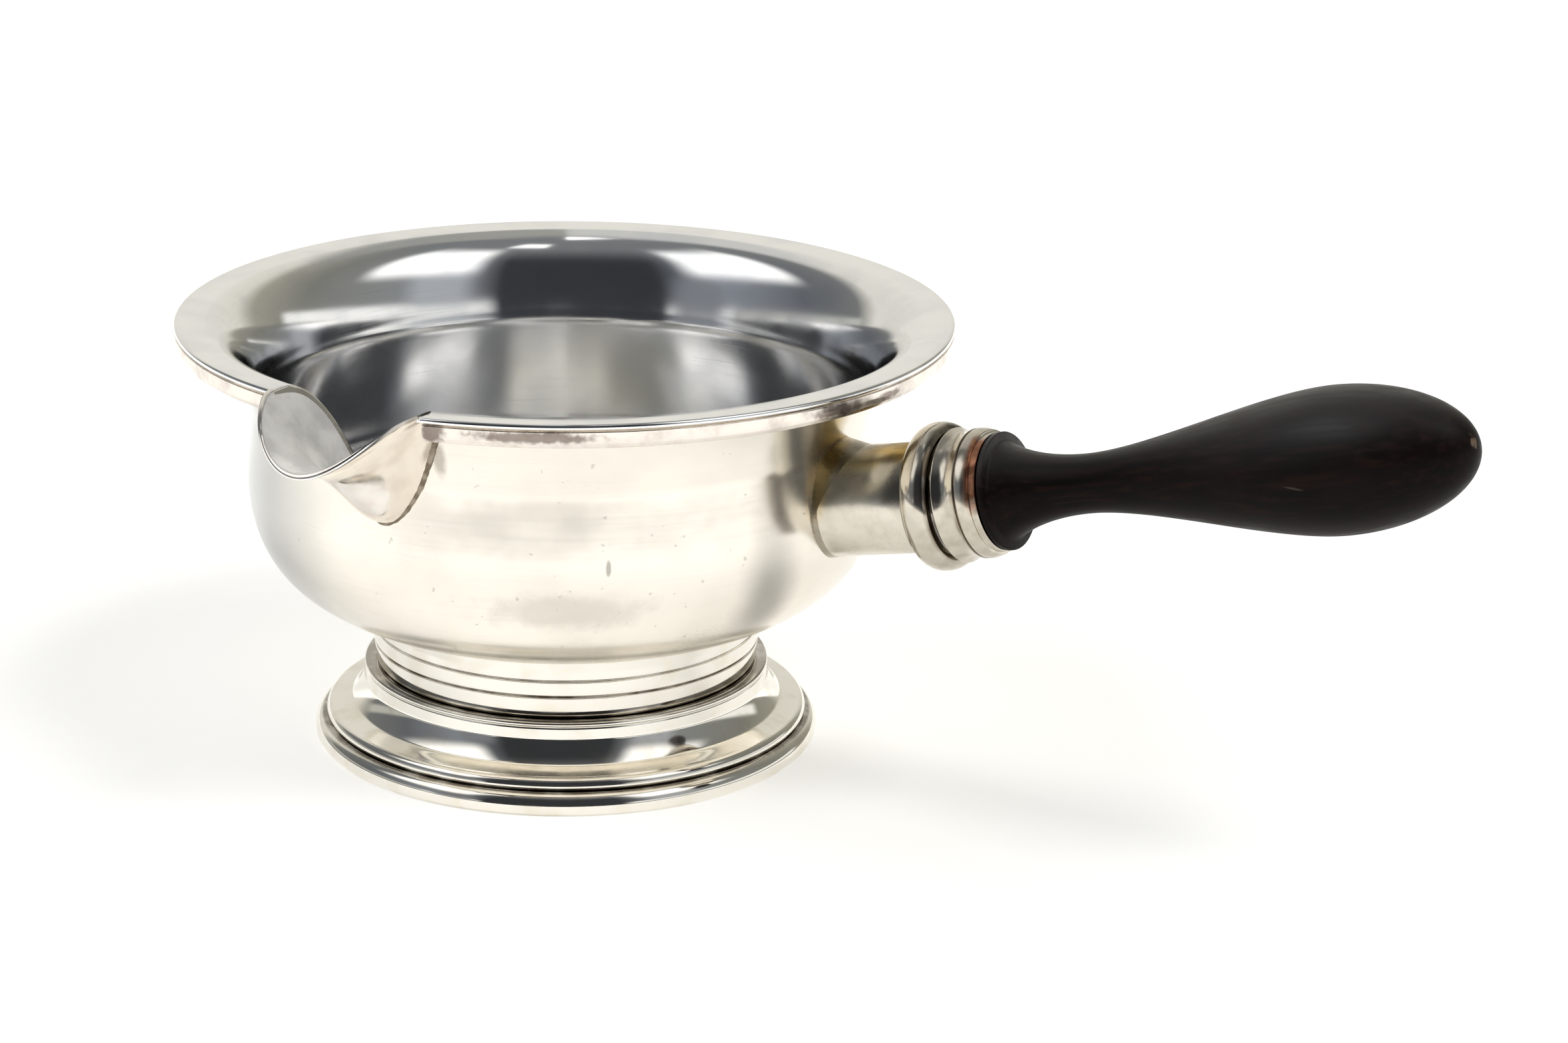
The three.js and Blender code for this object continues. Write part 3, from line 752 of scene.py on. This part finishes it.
def clouded(name, plain, metallic, roughness, cloud, clean, dull, tint, shine=None):
    """A material whose clean colour clouds of noise carry towards a dull one. cloud is their size, detail
    and roughness. tint and shine are a low and a high value of the noise, and what each gives: the share of
    the dull colour, and the roughness. Returned with it are its tree, its shader's sockets, its coordinates
    and its clouds."""
    material, tree, surface, place = new_material(name, plain, metallic, roughness)
    size, detail, grain = cloud
    noise = {"Vector": place, "Scale": cells(size), "Detail": detail, "Roughness": grain}
    clouds = add(tree, "TexNoise", noise)
    share = add(tree, "MapRange", {0: clouds, **dict(enumerate(tint, 1))}, **SMOOTH)
    color = add(tree, "Mix", {0: share, 6: linear(clean), 7: linear(dull)}, 2, **COLORS)
    tree.links.new(color, surface["Base Color"])
    if shine:
        rough = add(tree, "MapRange", {0: clouds, **dict(enumerate(shine, 1))}, **SMOOTH)
        tree.links.new(rough, surface["Roughness"])
    return material, tree, surface, place, clouds


def lay(tree, surface, share, tint):
    """Lays a share of a tint, a hex colour or an output, over the colour that reaches the shader so far."""
    below = surface["Base Color"].links[0].from_socket
    above = linear(tint) if isinstance(tint, str) else tint
    color = add(tree, "Mix", {0: share, 6: below, 7: above}, 2, **COLORS)
    tree.links.new(color, surface["Base Color"])


def roughen(tree, surface, pattern, amount):
    """Adds an amount of a pattern to the roughness that reaches the shader so far."""
    below = surface["Roughness"].links[0].from_socket
    rough = add(tree, "Math", {0: pattern, 1: amount, 2: below}, operation="MULTIPLY_ADD")
    tree.links.new(rough, surface["Roughness"])


def brushed_round(tree, surface, amount):
    """Fine scratches round the piece, along U of its own UV: they spread what it mirrors up and down."""
    tree.links.new(add(tree, "Tangent", direction_type="UV_MAP", uv_map="mm"), surface["Tangent"])
    surface["Anisotropic"].default_value = amount
    surface["Anisotropic Rotation"].default_value = 0.25


def round_streaks(tree, length, width, detail, grain):
    """Noise drawn out along U of the piece's UV: streaks round it, of a length and width in millimetres."""
    around = add(tree, "UVMap", uv_map="mm")
    stretched = add(tree, "Mapping", {"Vector": around, "Scale": (1 / length, 1 / width, 1)})
    return add(tree, "TexNoise", {"Vector": stretched, "Scale": 1.0, "Detail": detail, "Roughness": grain})


def along_handle(tree, place):
    """The place turned to the handle's axes, from the socket's mouth: X is down, Z is along the handle."""
    turn = (0, math.pi / 2 - HANDLE_TILT, 0)
    start = (mouth + AXIS) * MM
    return add(tree, "Mapping", {"Vector": place, "Location": start, "Rotation": turn}, vector_type="TEXTURE")


def on_bowl(degrees, z, radius=None):
    """Place on the bowl in metres, by the angle from the handle's side and the height above the table."""
    a = math.radians(degrees)
    r = float(outside_radius(z)) if radius is None else radius
    return (AXIS + [r * math.cos(a), r * math.sin(a), z]) * MM


def mark(tree, place, centre, size, strength, turn, ragged, grain, edge):
    """The strength inside an ellipsoid of the given half sizes in millimetres about its centre, and 0
    outside. turn is its angle about the upright, edge the softness of its edge, and grain the size of the
    teeth that make the edge ragged."""
    local = add(tree, "Mapping", {
        "Vector": place,
        "Location": centre,
        "Rotation": (0, 0, math.radians(turn)),
        "Scale": [s * MM for s in size],
    }, vector_type="TEXTURE")
    away = add(tree, "VectorMath", {0: local}, "Value", operation="LENGTH")
    teeth = add(tree, "TexNoise", {"Vector": place, "Scale": cells(grain), "Detail": 3.0})
    teeth = add(tree, "Math", {0: teeth, 1: 0.5}, operation="SUBTRACT")
    away = add(tree, "Math", {0: teeth, 1: ragged * 3, 2: away}, operation="MULTIPLY_ADD")
    return add(tree, "MapRange", {0: away, 1: 1 + edge, 2: 1 - edge, 4: strength}, **SMOOTH)


# Marks and painted shade on the outside of the bowl: angle from the handle's side, height, distance from the
# axis where it isn't the wall's, half sizes, strength, turn, raggedness, grain, softness of the edge, and
# tint
RUBBED_MARKS_AND_SHADE = (
    # Grime in the hollow of the left side
    (-137, 43.5, None, (5, 5, 5), 0.45, 0, 0.9, 3.0, 0.5, "6F6C69"),
    # Nick
    (-50.9, 46.0, None, (0.4, 0.4, 1.3), 0.55, 0, 0.1, 0.8, 0.3, "6A655E"),
    # Gold bloom from the heat of soldering, above the socket
    (-5.6, 64, 54, (6, 4, 6), 0.8, 0, 0.35, 5.0, 0.6, "B59B4E"),
    # Painted shade on the left side, where the body mirrors the darker room: a broad grey patch
    (-136, 42, None, (23, 23, 34), 0.95, 0, 0.1, 12.0, 0.55, "B8B8B6"),
    # Painted reflection of the dark handle: an upright grey band beside the socket
    (-19.4, 36, None, (4.6, 4.6, 14), 0.8, 0, 0.15, 9.0, 0.8, "A5A19B"),
    # Darker grey-brown smudge under the end of the lip's seam
    (-79.8, 63.5, None, (1.1, 1.1, 4.5), 0.55, 0, 0.3, 2.0, 0.5, "8A7D6B"),
)

# Fire stains on the rim band, in the same order
BAND_MARKS = (
    (-62, rim_z - 2.1, RIM_R, (9.5, 9.5, 0.85), 0.75, 28, 0.55, 1.6, 0.4, "65544B"),
    (-17, rim_z - 2.3, RIM_R, (3.6, 5.5, 1.1), 0.8, 0, 0.55, 1.6, 0.4, "65544B"),
    (-6, rim_z - 2.3, RIM_R, (2.0, 3.5, 0.6), 0.75, 0, 0.55, 1.6, 0.4, "65544B"),
    (-76.5, rim_z - 2.3, RIM_R, (1.9, 1.9, 1.7), 0.8, 0, 0.55, 1.6, 0.4, "65544B"),
)


def lay_marks(tree, surface, place, marks):
    """Lays each mark's tint over the colour that reaches the shader so far."""
    for degrees, z, radius, *shape, tint in marks:
        lay(tree, surface, mark(tree, place, on_bowl(degrees, z, radius), *shape), tint)


def silver_rubbed():
    """Silver spun to shape and rubbed round with a cloth: a soft mirror, with fine streaks that run round
    the bowl, faint clouds, pin-head specks, a few dull patches and nicks, and painted shade on its left
    side and beside the socket."""
    material, tree, surface, place, clouds = clouded(
        "silver_rubbed", "F4F0E7", 0.88, 0.3, (16, 3.0, 0.6),
        "F8F2E7", "EDE6DB", (0.35, 0.7, 0, 0.5), (0.35, 0.7, 0.18, 0.26),
    )
    brushed_round(tree, surface, 0.45)
    # Streaks coarser than real ones, so that they show
    streaks = round_streaks(tree, 40, 0.7, 4.0, 0.65)
    lay(tree, surface, add(tree, "MapRange", {0: streaks, 1: 0.5, 2: 0.75, 4: 0.12}, **SMOOTH), "D9D3C7")
    specks = add(tree, "TexNoise", {"Vector": place, "Scale": cells(1.3), "Detail": 2.0})
    lay(tree, surface, add(tree, "MapRange", {0: specks, 1: 0.7, 2: 0.76, 4: 0.35}, **SMOOTH), "8E867A")
    dull = mark(tree, place, on_bowl(-58, 38.5), (11, 11, 3.2), 1.0, 32, 0.5, 4.0, 0.5)
    lay(tree, surface, add(tree, "Math", {0: dull, 1: 0.32}, operation="MULTIPLY"), "A9A299")
    lay_marks(tree, surface, place, RUBBED_MARKS_AND_SHADE)
    roughen(tree, surface, add(tree, "MapRange", {0: streaks, 1: 0.3, 2: 0.75}, **SMOOTH), 0.03)
    roughen(tree, surface, dull, 0.14)
    bump = add(tree, "Bump", {"Height": streaks, "Strength": 0.04, "Distance": 0.02 * MM})
    tree.links.new(bump, surface["Normal"])
    return material


def silver_buffed():
    """Silver buffed on a wheel inside the bowl: a clear mirror on the flare, and a web of hair-fine
    scratches round the wall that draws what it mirrors into tall soft patches."""
    material, tree, surface, place, _ = clouded(
        "silver_buffed", "FAF9F7", 1, 0.06, (12, 3.0, 0.5),
        "FAF9F7", "E6E7EA", (0.4, 0.7, 0, 0.6), (0.4, 0.7, 0.075, 0.125),
    )
    brushed_round(tree, surface, 0.8)
    hairs = round_streaks(tree, 18, 0.35, 3.0, 0.7)
    lay(tree, surface, add(tree, "MapRange", {0: hairs, 1: 0.55, 2: 0.75, 4: 0.35}, **SMOOTH), "D4D6DA")
    height = add(tree, "SeparateXYZ", {0: place}, "Z")
    flare_z = waist_z + FLARE_BUFFED_FROM
    below_flare = add(tree, "MapRange", {0: height, 1: flare_z * MM, 2: waist_z * MM}, **SMOOTH)
    roughen(tree, surface, below_flare, 0.03)
    roughen(tree, surface, add(tree, "MapRange", {0: hairs, 1: 0.5, 2: 0.8}, **SMOOTH), 0.04)
    bump = add(tree, "Bump", {"Height": hairs, "Strength": 0.025, "Distance": 0.01 * MM})
    tree.links.new(bump, surface["Normal"])
    return material


def silver_bright(name, stains, on_handle=False, clean="F5F1E8", dull="E2DBCB", worn=0.0):
    """Silver turned and burnished: a hard mirror, with brown tarnish left in its grooves. Each stain has a
    height, or a distance along the handle, its reach and its depth. worn makes the mirror softer."""
    material, tree, surface, place, clouds = clouded(
        name, "F3EFE5", 1, 0.045, (5, 4.0, 0.5),
        clean, dull, (0.45, 0.7, 0, 0.5), (0.4, 0.75, 0.06 + worn, 0.15 + worn),
    )
    patchy = add(tree, "MapRange", {0: clouds, 1: 0.3, 2: 0.6, 3: 0.5, 4: 1}, **SMOOTH)
    way = add(tree, "SeparateXYZ", {0: along_handle(tree, place) if on_handle else place}, "Z")
    for at, reach, depth in stains:
        away = add(tree, "Math", {0: way, 1: at * MM}, operation="SUBTRACT")
        away = add(tree, "Math", {0: away}, operation="ABSOLUTE")
        stain = add(tree, "MapRange", {0: away, 1: 0.2 * reach * MM, 2: reach * MM, 3: depth, 4: 0}, **SMOOTH)
        lay(tree, surface, add(tree, "Math", {0: stain, 1: patchy}, operation="MULTIPLY"), "4A3B28")
    return material


def silver_band():
    """Silver wire drawn flat and soldered on: softly polished and rosy, with brown fire stain in places."""
    material, tree, surface, place, _ = clouded(
        "silver_band", "E9DFD2", 1, 0.22, (6, 4.0, 0.65),
        "EDE5DC", "CFC4BA", (0.4, 0.7, 0, 0.7), (0.35, 0.7, 0.14, 0.34),
    )
    lay_marks(tree, surface, place, BAND_MARKS)
    return material


def silver_lip_inside():
    """Hammered and scoured inside of the lip: finely scratched, so it looks half white, in darker clouds."""
    return clouded(
        "silver_lip_inside", "F8F6F4", 0.35, 0.3, (7, 3.0, 0.6),
        "FAF8F6", "DCDAD8", (0.35, 0.65, 0, 1), (0.35, 0.65, 0.22, 0.36),
    )[0]


def silver_lip_outside():
    """Outside of the lip, filed and buffed by hand: a clear mirror with a rosy tint."""
    return clouded(
        "silver_lip_outside", "F1EBE4", 1, 0.1, (5, 3.0, 0.5),
        "F4EFE8", "DED3CB", (0.4, 0.7, 0, 0.6), (0.35, 0.7, 0.06, 0.18),
    )[0]


def solder():
    """Hard solder, darkened: a dull brown-grey seam."""
    return clouded(
        "solder_tarnished", "6B6154", 1, 0.42, (1.8, 3.0, 0.5),
        "7A6E5E", "A3988A", (0.38, 0.62, 0, 1),
    )[0]


def silver_socket():
    """Drawn silver tube, heated when it was soldered on: darker above, with gold and brown stain along its
    top and at its root."""
    material, tree, surface, place, clouds = clouded(
        "silver_socket", "EFEADF", 0.9, 0.14, (4, 4.0, 0.6),
        "DDD7CA", "C2B9A7", (0.4, 0.7, 0, 0.4), (0.35, 0.7, 0.22, 0.3),
    )
    down = add(tree, "SeparateXYZ", {0: along_handle(tree, place)}, "X")
    above = add(tree, "MapRange", {0: down, 1: -3 * MM, 2: -0.5 * MM, 3: 0.6, 4: 0}, **SMOOTH)
    gold = mark(tree, place, (mouth + AXIS + SOCKET_GILT) * MM, (16, 9, 3.0), 1.0, 0, 0.35, 4.0, 0.5)
    root = mark(tree, place, on_bowl(-6, 57, 53.2), (1.7, 9.5, 7.5), 1.0, 0, 0.25, 2.5, 0.4)
    stained = add(tree, "Math", {0: gold, 1: root}, operation="MAXIMUM")
    patchy = add(tree, "MapRange", {0: clouds, 1: 0.45, 2: 0.6, 4: 0.35}, **SMOOTH)
    lay(tree, surface, above, "7F7A69")
    lay(tree, surface, add(tree, "Math", {0: gold, 1: 0.8}, operation="MULTIPLY"), "B4933F")
    lay(tree, surface, add(tree, "Math", {0: root, 1: 0.65}, operation="MULTIPLY"), "CDAE5C")
    lay(tree, surface, add(tree, "Math", {0: stained, 1: patchy}, operation="MULTIPLY"), "4E3A1C")
    return material


def silver_ferrule():
    """Plated copper ferrule: burnished silver, worn to the copper at its mouth, brown left in its groove."""
    material, tree, surface, place, clouds = clouded(
        "silver_ferrule", "F0EBE0", 1, 0.07, (2.5, 4.0, 0.5),
        "CBC4B7", "AAA190", (0.4, 0.7, 0, 0.5), (0.35, 0.7, 0.14, 0.25),
    )
    s = add(tree, "SeparateXYZ", {0: along_handle(tree, place)}, "Z")
    groove = add(tree, "Math", {0: s, 1: bead_s * MM}, operation="SUBTRACT")
    groove = add(tree, "Math", {0: groove}, operation="ABSOLUTE")
    groove = add(tree, "MapRange", {0: groove, 1: 0.1 * MM, 2: 0.45 * MM, 3: 0.7, 4: 0}, **SMOOTH)
    lay(tree, surface, groove, "5B4A3A")
    worn_at = mouth + AXIS + tilted(HANDLE_TILT)[:3, :3] @ [*FERRULE_WORN, ferrule_mouth_s]
    wear = mark(tree, place, worn_at * MM, (6.5, 6.5, 6.5), 1.0, 0, 0.25, 2.0, 0.25)
    bared_from, bared_to = ferrule_mouth_s - 1.1, ferrule_mouth_s - 0.2
    bared = add(tree, "MapRange", {0: s, 1: bared_from * MM, 2: bared_to * MM}, **SMOOTH)
    wear = add(tree, "Math", {0: wear, 1: bared}, operation="MULTIPLY")
    browned = add(tree, "MapRange", {0: clouds, 1: 0.4, 2: 0.65}, **SMOOTH)
    copper = add(tree, "Mix", {0: browned, 6: linear("B98467"), 7: linear("6E4A38")}, 2, **COLORS)
    lay(tree, surface, wear, copper)
    roughen(tree, surface, wear, 0.2)
    return material


def ebony():
    """Ebony, turned, stained and rubbed with oil: brown-black, with a faint reddish grain along it, and a
    painted shine: its specular level falls from the top of the handle to its underside."""
    material, tree, surface, place = new_material("ebony", "1B1210", 0, 0.36)
    local = along_handle(tree, place)
    # Pores and bands 30 mm long and 1.2 mm wide
    stretched = add(tree, "Mapping", {"Vector": local, "Scale": (cells(1.2), cells(1.2), cells(30))})
    grain = add(tree, "TexNoise", {"Vector": stretched, "Scale": 1.0, "Detail": 4.0, "Roughness": 0.6})
    clouds = add(tree, "TexNoise", {"Vector": place, "Scale": cells(14), "Detail": 2.0})
    banded = add(tree, "MapRange", {0: grain, 1: 0.45, 2: 0.7}, **SMOOTH)
    color = add(tree, "Mix", {0: banded, 6: linear("0B0807"), 7: linear("1E120E")}, 2, **COLORS)
    tree.links.new(color, surface["Base Color"])
    lay(tree, surface, add(tree, "MapRange", {0: clouds, 1: 0.4, 2: 0.7, 4: 0.4}, **SMOOTH), "19100E")
    chip = mark(tree, place, (AXIS + CHIP_AT) * MM, (1.1, 1.1, 1.3), 0.5, 0, 0.6, 1.0, 0.3)
    lay(tree, surface, chip, "94806B")
    scratch = mark(tree, place, (AXIS + SCRATCH_AT) * MM, (1.5, 0.5, 0.16), 0.2, 0, 0.2, 0.8, 0.4)
    lay(tree, surface, scratch, "7C746E")
    rough = add(tree, "MapRange", {0: grain, 1: 0.35, 2: 0.7, 3: 0.4, 4: 0.54}, **SMOOTH)
    tree.links.new(rough, surface["Roughness"])
    # Painted shine: the specular level falls from the top of the handle to its underside, so the top shines
    # where the lights fall
    down = add(tree, "SeparateXYZ", {0: local}, "X")
    painted_top_shine = add(tree, "MapRange", {0: down, 1: -9 * MM, 2: -1 * MM, 3: 0.7, 4: 0.06}, **SMOOTH)
    tree.links.new(painted_top_shine, surface["Specular IOR Level"])
    bump = add(tree, "Bump", {"Height": grain, "Strength": 0.15, "Distance": 0.05 * MM})
    tree.links.new(bump, surface["Normal"])
    return material


def turned_metal(name, color, roughness):
    """Turned brass or steel, with tool marks 0.3 mm apart along the handle."""
    material, tree, surface, place = new_material(name, color, 1, roughness)
    s = add(tree, "SeparateXYZ", {0: along_handle(tree, place)}, "Z")
    rings = add(tree, "Math", {0: s, 1: 2 * math.pi * cells(0.3)}, operation="MULTIPLY")
    rings = add(tree, "Math", {0: rings}, operation="SINE")
    bump = add(tree, "Bump", {"Height": rings, "Strength": 0.3, "Distance": 0.01 * MM})
    tree.links.new(bump, surface["Normal"])
    return material


def dress(piece, slot, *materials):
    """Gives a piece its materials; slot, the record's slot that they belong to, is not used."""
    for i, material in enumerate(materials):
        if i < len(piece.data.materials):
            piece.data.materials[i] = material
        else:
            piece.data.materials.append(material)


# Stains in the grooves, as height or distance along the handle, reach and depth
WIRE_STAINS = [(foot_z, 0.3, 0.8)]
FOOT_STAINS = [(foot_z, 0.5, 0.9), (collar_z, 0.4, 0.6)]
COLLAR_STAINS = [
    (collar_z, 0.5, 0.7),
    (collar_z + COLLAR_COVE_H, 0.28, 0.9),
    (collar_z + COLLAR_COVE_H + COLLAR_BAND_H, 0.25, 0.6),
    (bowl_z, 0.4, 0.7),
]
RING_STAINS = [(-SOCKET_RING_W, 0.9, 0.8), (0.1, 0.9, 0.9)]

dress(bowl(), "satin_silver", silver_rubbed(), silver_buffed())
dress(rim_band(), "satin_silver", silver_band())
dress(pouring_lip(), "polished_silver", silver_lip_outside(), silver_lip_inside())
dress(solder_seam(), "satin_silver", solder())
dress(foot_ring(), "polished_silver", silver_bright("silver_foot_ring", WIRE_STAINS))
dress(foot(), "polished_silver", silver_bright("silver_foot", FOOT_STAINS))
dress(foot_collar(), "polished_silver", silver_bright("silver_collar", COLLAR_STAINS))
dress(handle_socket(), "satin_silver", silver_socket())
ring_silver = silver_bright("silver_socket_ring", RING_STAINS, True, "CBC4B7", "A89F8E", 0.07)
dress(socket_ring(), "polished_silver", ring_silver)
dress(ferrule(), "polished_silver", silver_ferrule())
dress(handle(), "ebony", ebony())
dress(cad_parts["socket_plug"], None, turned_metal("brass_plug", "B98D4A", 0.35))
dress(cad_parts["handle_stud"], None, turned_metal("steel_stud", "8D8F92", 0.4))


# Camera: its place is measured from the bowl's axis, in a frame turned from the handle's by VIEW_TURN

VIEW_TURN = math.radians(32.0)
EYE_BACK = 676.85
EYE_UP = 255.8
PAN = math.radians(3.126)
PITCH = math.radians(17.917)
ROLL = math.radians(0.9)
LENS = 96.12
SENSOR = 36.0


def place_camera():
    """Camera from its eye, pan, pitch and roll: right and up turn about the view direction by the roll."""
    yaw = VIEW_TURN - PAN
    ahead = Vector((-math.sin(yaw) * math.cos(PITCH), math.cos(yaw) * math.cos(PITCH), -math.sin(PITCH)))
    right = ahead.cross(Vector((0, 0, 1))).normalized()
    up = right.cross(ahead)
    right, up = right * math.cos(ROLL) + up * math.sin(ROLL), up * math.cos(ROLL) - right * math.sin(ROLL)
    eye = Vector((EYE_BACK * math.sin(VIEW_TURN), -EYE_BACK * math.cos(VIEW_TURN), EYE_UP)) + Vector(AXIS)
    camera = bpy.data.objects.new("camera", bpy.data.cameras.new("camera"))
    camera.data.lens = LENS
    camera.data.sensor_width = SENSOR
    camera.data.clip_start = 0.01
    camera.data.clip_end = 50
    camera.matrix_world = Matrix.Translation(eye * MM) @ Matrix((right, up, -ahead)).transposed().to_4x4()
    bpy.context.scene.collection.objects.link(camera)
    bpy.context.scene.camera = camera


# Table: its half width and its reach before and behind the bowl in millimetres, and how much its paper glows

TABLE_HALF_W = 2500.0
TABLE_FRONT = 1600.0
TABLE_BEHIND = 3500.0
NEAR_GLOW = 0.4
FAR_GLOW = 0.78
MIRROR_GLOW = 0.16


def table_top():
    """White paper on a table, so strongly lit that it glows, more so from 0.3 to 0.9 m away from the bowl,
    where the soft boxes light it less. Near the bowl it glows a little more for shiny things only: a
    painted reflection that brightens the table they mirror."""
    corners = np.array([
        (-TABLE_HALF_W, -TABLE_FRONT),
        (TABLE_HALF_W, -TABLE_FRONT),
        (TABLE_HALF_W, TABLE_BEHIND),
        (-TABLE_HALF_W, TABLE_BEHIND),
    ])
    corners = corners @ about_z(VIEW_TURN)[:2, :2] + AXIS[:2]
    mesh = bpy.data.meshes.new("table_top")
    mesh.from_pydata([(x * MM, y * MM, 0) for x, y in corners], [], [(0, 1, 2, 3)])
    piece = bpy.data.objects.new("table_top", mesh)
    bpy.context.scene.collection.objects.link(piece)
    material, tree, surface, place = new_material("paper_sweep", "F5F5F4", 0, 0.9)
    away = add(tree, "VectorMath", {0: place, 1: AXIS * MM}, "Value", operation="DISTANCE")
    glow = add(tree, "MapRange", {0: away, 1: 0.3, 2: 0.9, 3: NEAR_GLOW, 4: FAR_GLOW}, **SMOOTH)
    # Painted reflection: near the bowl the paper glows a little more, for shiny things only
    painted_mirror_glow = add(tree, "MapRange", {0: away, 1: 0.11, 2: 0.19, 4: MIRROR_GLOW}, **SMOOTH)
    glossy = add(tree, "LightPath", out="Is Glossy Ray")
    glow = add(tree, "Math", {0: painted_mirror_glow, 1: glossy, 2: glow}, operation="MULTIPLY_ADD")
    surface["Specular IOR Level"].default_value = 0.1
    surface["Emission Color"].default_value = linear("FFFEFB")
    tree.links.new(glow, surface["Emission Strength"])
    dress(piece, None, material)


# Soft boxes and room, by elevation and by azimuth, which is 0 on the camera's side and grows to its right

BOX_AWAY = 2.2
BOX_AIM = Vector((0, 0, 0.06))


def soft_box(name, azimuth, elevation, width, height, glow, tint="FFFFFF"):
    """A soft box that faces the bowl. glow is the brightness of its face against white paper's."""
    a, e = math.radians(azimuth) + VIEW_TURN, math.radians(elevation)
    out = Vector((math.sin(a) * math.cos(e), -math.cos(a) * math.cos(e), math.sin(e)))
    light = bpy.data.lights.new(name, "AREA")
    light.shape = "RECTANGLE"
    light.size = width
    light.size_y = height
    light.energy = glow * math.pi * width * height
    light.color = linear(tint)[:3]
    lamp = bpy.data.objects.new(name, light)
    lamp.location = Vector(AXIS) * MM + BOX_AIM + out * BOX_AWAY
    lamp.rotation_euler = (-out).to_track_quat("-Z", "Y").to_euler()
    lamp.visible_camera = False
    lamp.visible_glossy = False
    bpy.context.scene.collection.objects.link(lamp)


# Walls of the room, dark behind the camera and pale behind the bowl, as stops of azimuth and colour
WALLS = (
    (-180, "E6E4DC"),
    (-143, "DCDAD2"),
    (-131, "747676"),
    (-100, "62666C"),
    (-62, "858B93"),
    (-36, "34363A"),
    (25, "36383C"),
    (44, "8E9298"),
    (64, "84888A"),
    (112, "7E7E78"),
    (143, "9C9A8E"),
    (155, "D6D4CA"),
    (180, "E6E4DC"),
)
CEILING = "77797B"
CEILING_FROM = 45
CEILING_TO = 72

# Pale areas on the walls and ceiling: azimuth and elevation of the middle, half sizes, softness of the
# edge, colour and brightness. Those brighter than paper are the faces of the soft boxes, which only shiny
# things see.
PANES = (
    (-54, 7, 15, 3, 5, "FFFFFF", 1.0),
    (-100, 7, 34, 3, 6, "B9B9B4", 1.0),
    (76, 8, 48, 4, 7, "FAFAF8", 1.0),
    (50, 27, 12, 17, 14, "A6AAB0", 1.0),
    (-52, 16, 10, 12, 12, "7C8086", 1.0),
    (-160, 62, 24, 16, 16, "C8C8C6", 1.0),
    (160, 62, 24, 16, 16, "9C9C98", 1.0),
    (62, 50, 24, 15, 14, "FFFFFF", 1.35),
    (-77, 49, 26, 15, 14, "FFFFFF", 1.3),
    (-168, 84, 30, 4, 6, "FFFFFF", 1.5),
    (28, 75, 14, 4, 6, "FFFFFF", 1.3),
)


def studio():
    """Walls by azimuth with pale areas on them, under a grey ceiling. The camera itself sees plain white
    past the table."""
    world = bpy.data.worlds.new("studio")
    world.use_nodes = True
    bpy.context.scene.world = world
    tree = world.node_tree
    axes = add(tree, "SeparateXYZ", {0: add(tree, "TexCoord", out="Generated")}).node.outputs
    ahead = add(tree, "Math", {0: axes["Y"], 1: -1.0}, operation="MULTIPLY")
    turns = add(tree, "Math", {0: axes["X"], 1: ahead}, operation="ARCTAN2")
    turns = add(tree, "Math", {0: turns, 1: VIEW_TURN - math.pi}, operation="SUBTRACT")
    turns = add(tree, "Math", {0: turns, 1: 2 * math.pi}, operation="DIVIDE")
    turns = add(tree, "Math", {0: turns}, operation="FRACT")
    azimuth = add(tree, "Math", {0: turns, 1: 360.0, 2: -180.0}, operation="MULTIPLY_ADD")
    elevation = add(tree, "Math", {0: axes["Z"]}, operation="ARCSINE")
    elevation = add(tree, "Math", {0: elevation, 1: math.degrees(1)}, operation="MULTIPLY")
    walls = add(tree, "ValToRGB", {"Fac": turns})
    stops = walls.node.color_ramp.elements
    while len(stops) < len(WALLS):
        stops.new(0.5)
    for stop, (at, _) in zip(stops, WALLS):
        stop.position = (at + 180) / 360
    for stop, (_, code) in zip(stops, WALLS):
        stop.color = linear(code)
    high = add(tree, "MapRange", {0: elevation, 1: CEILING_FROM, 2: CEILING_TO}, **SMOOTH)
    color = add(tree, "Mix", {0: high, 6: walls, 7: linear(CEILING)}, 2, **COLORS)
    rays = add(tree, "LightPath").node.outputs
    for at, up, half_width, half_height, soft, code, glow in PANES:
        inside_pane = rays["Is Glossy Ray"] if glow > 1 else 1.0
        for value, middle, half in ((azimuth, at, half_width), (elevation, up, half_height)):
            away = add(tree, "Math", {0: value, 1: middle}, operation="SUBTRACT")
            away = add(tree, "Math", {0: away}, operation="ABSOLUTE")
            edge = min(soft, half) / 2
            share = add(tree, "MapRange", {0: away, 1: half + edge, 2: half - edge}, **SMOOTH)
            inside_pane = add(tree, "Math", {0: share, 1: inside_pane}, operation="MULTIPLY")
        bright = [glow * part for part in linear(code)]
        color = add(tree, "Mix", {0: inside_pane, 6: color, 7: bright}, 2, **COLORS)
    seen = add(tree, "Mix", {0: rays["Is Camera Ray"], 6: color, 7: linear("FEFDFB")}, 2, **COLORS)
    tree.links.new(seen, tree.nodes["Background"].inputs["Color"])


place_camera()
table_top()
studio()
soft_box("box_left", -82, 50, 1.8, 1.3, 2.35)
soft_box("box_right", 68, 53, 1.3, 1.05, 2.35)
soft_box("box_key", 47, 57, 0.6, 0.6, 8.2, "FFFDF8")
bpy.context.scene.view_settings.view_transform = "Standard"
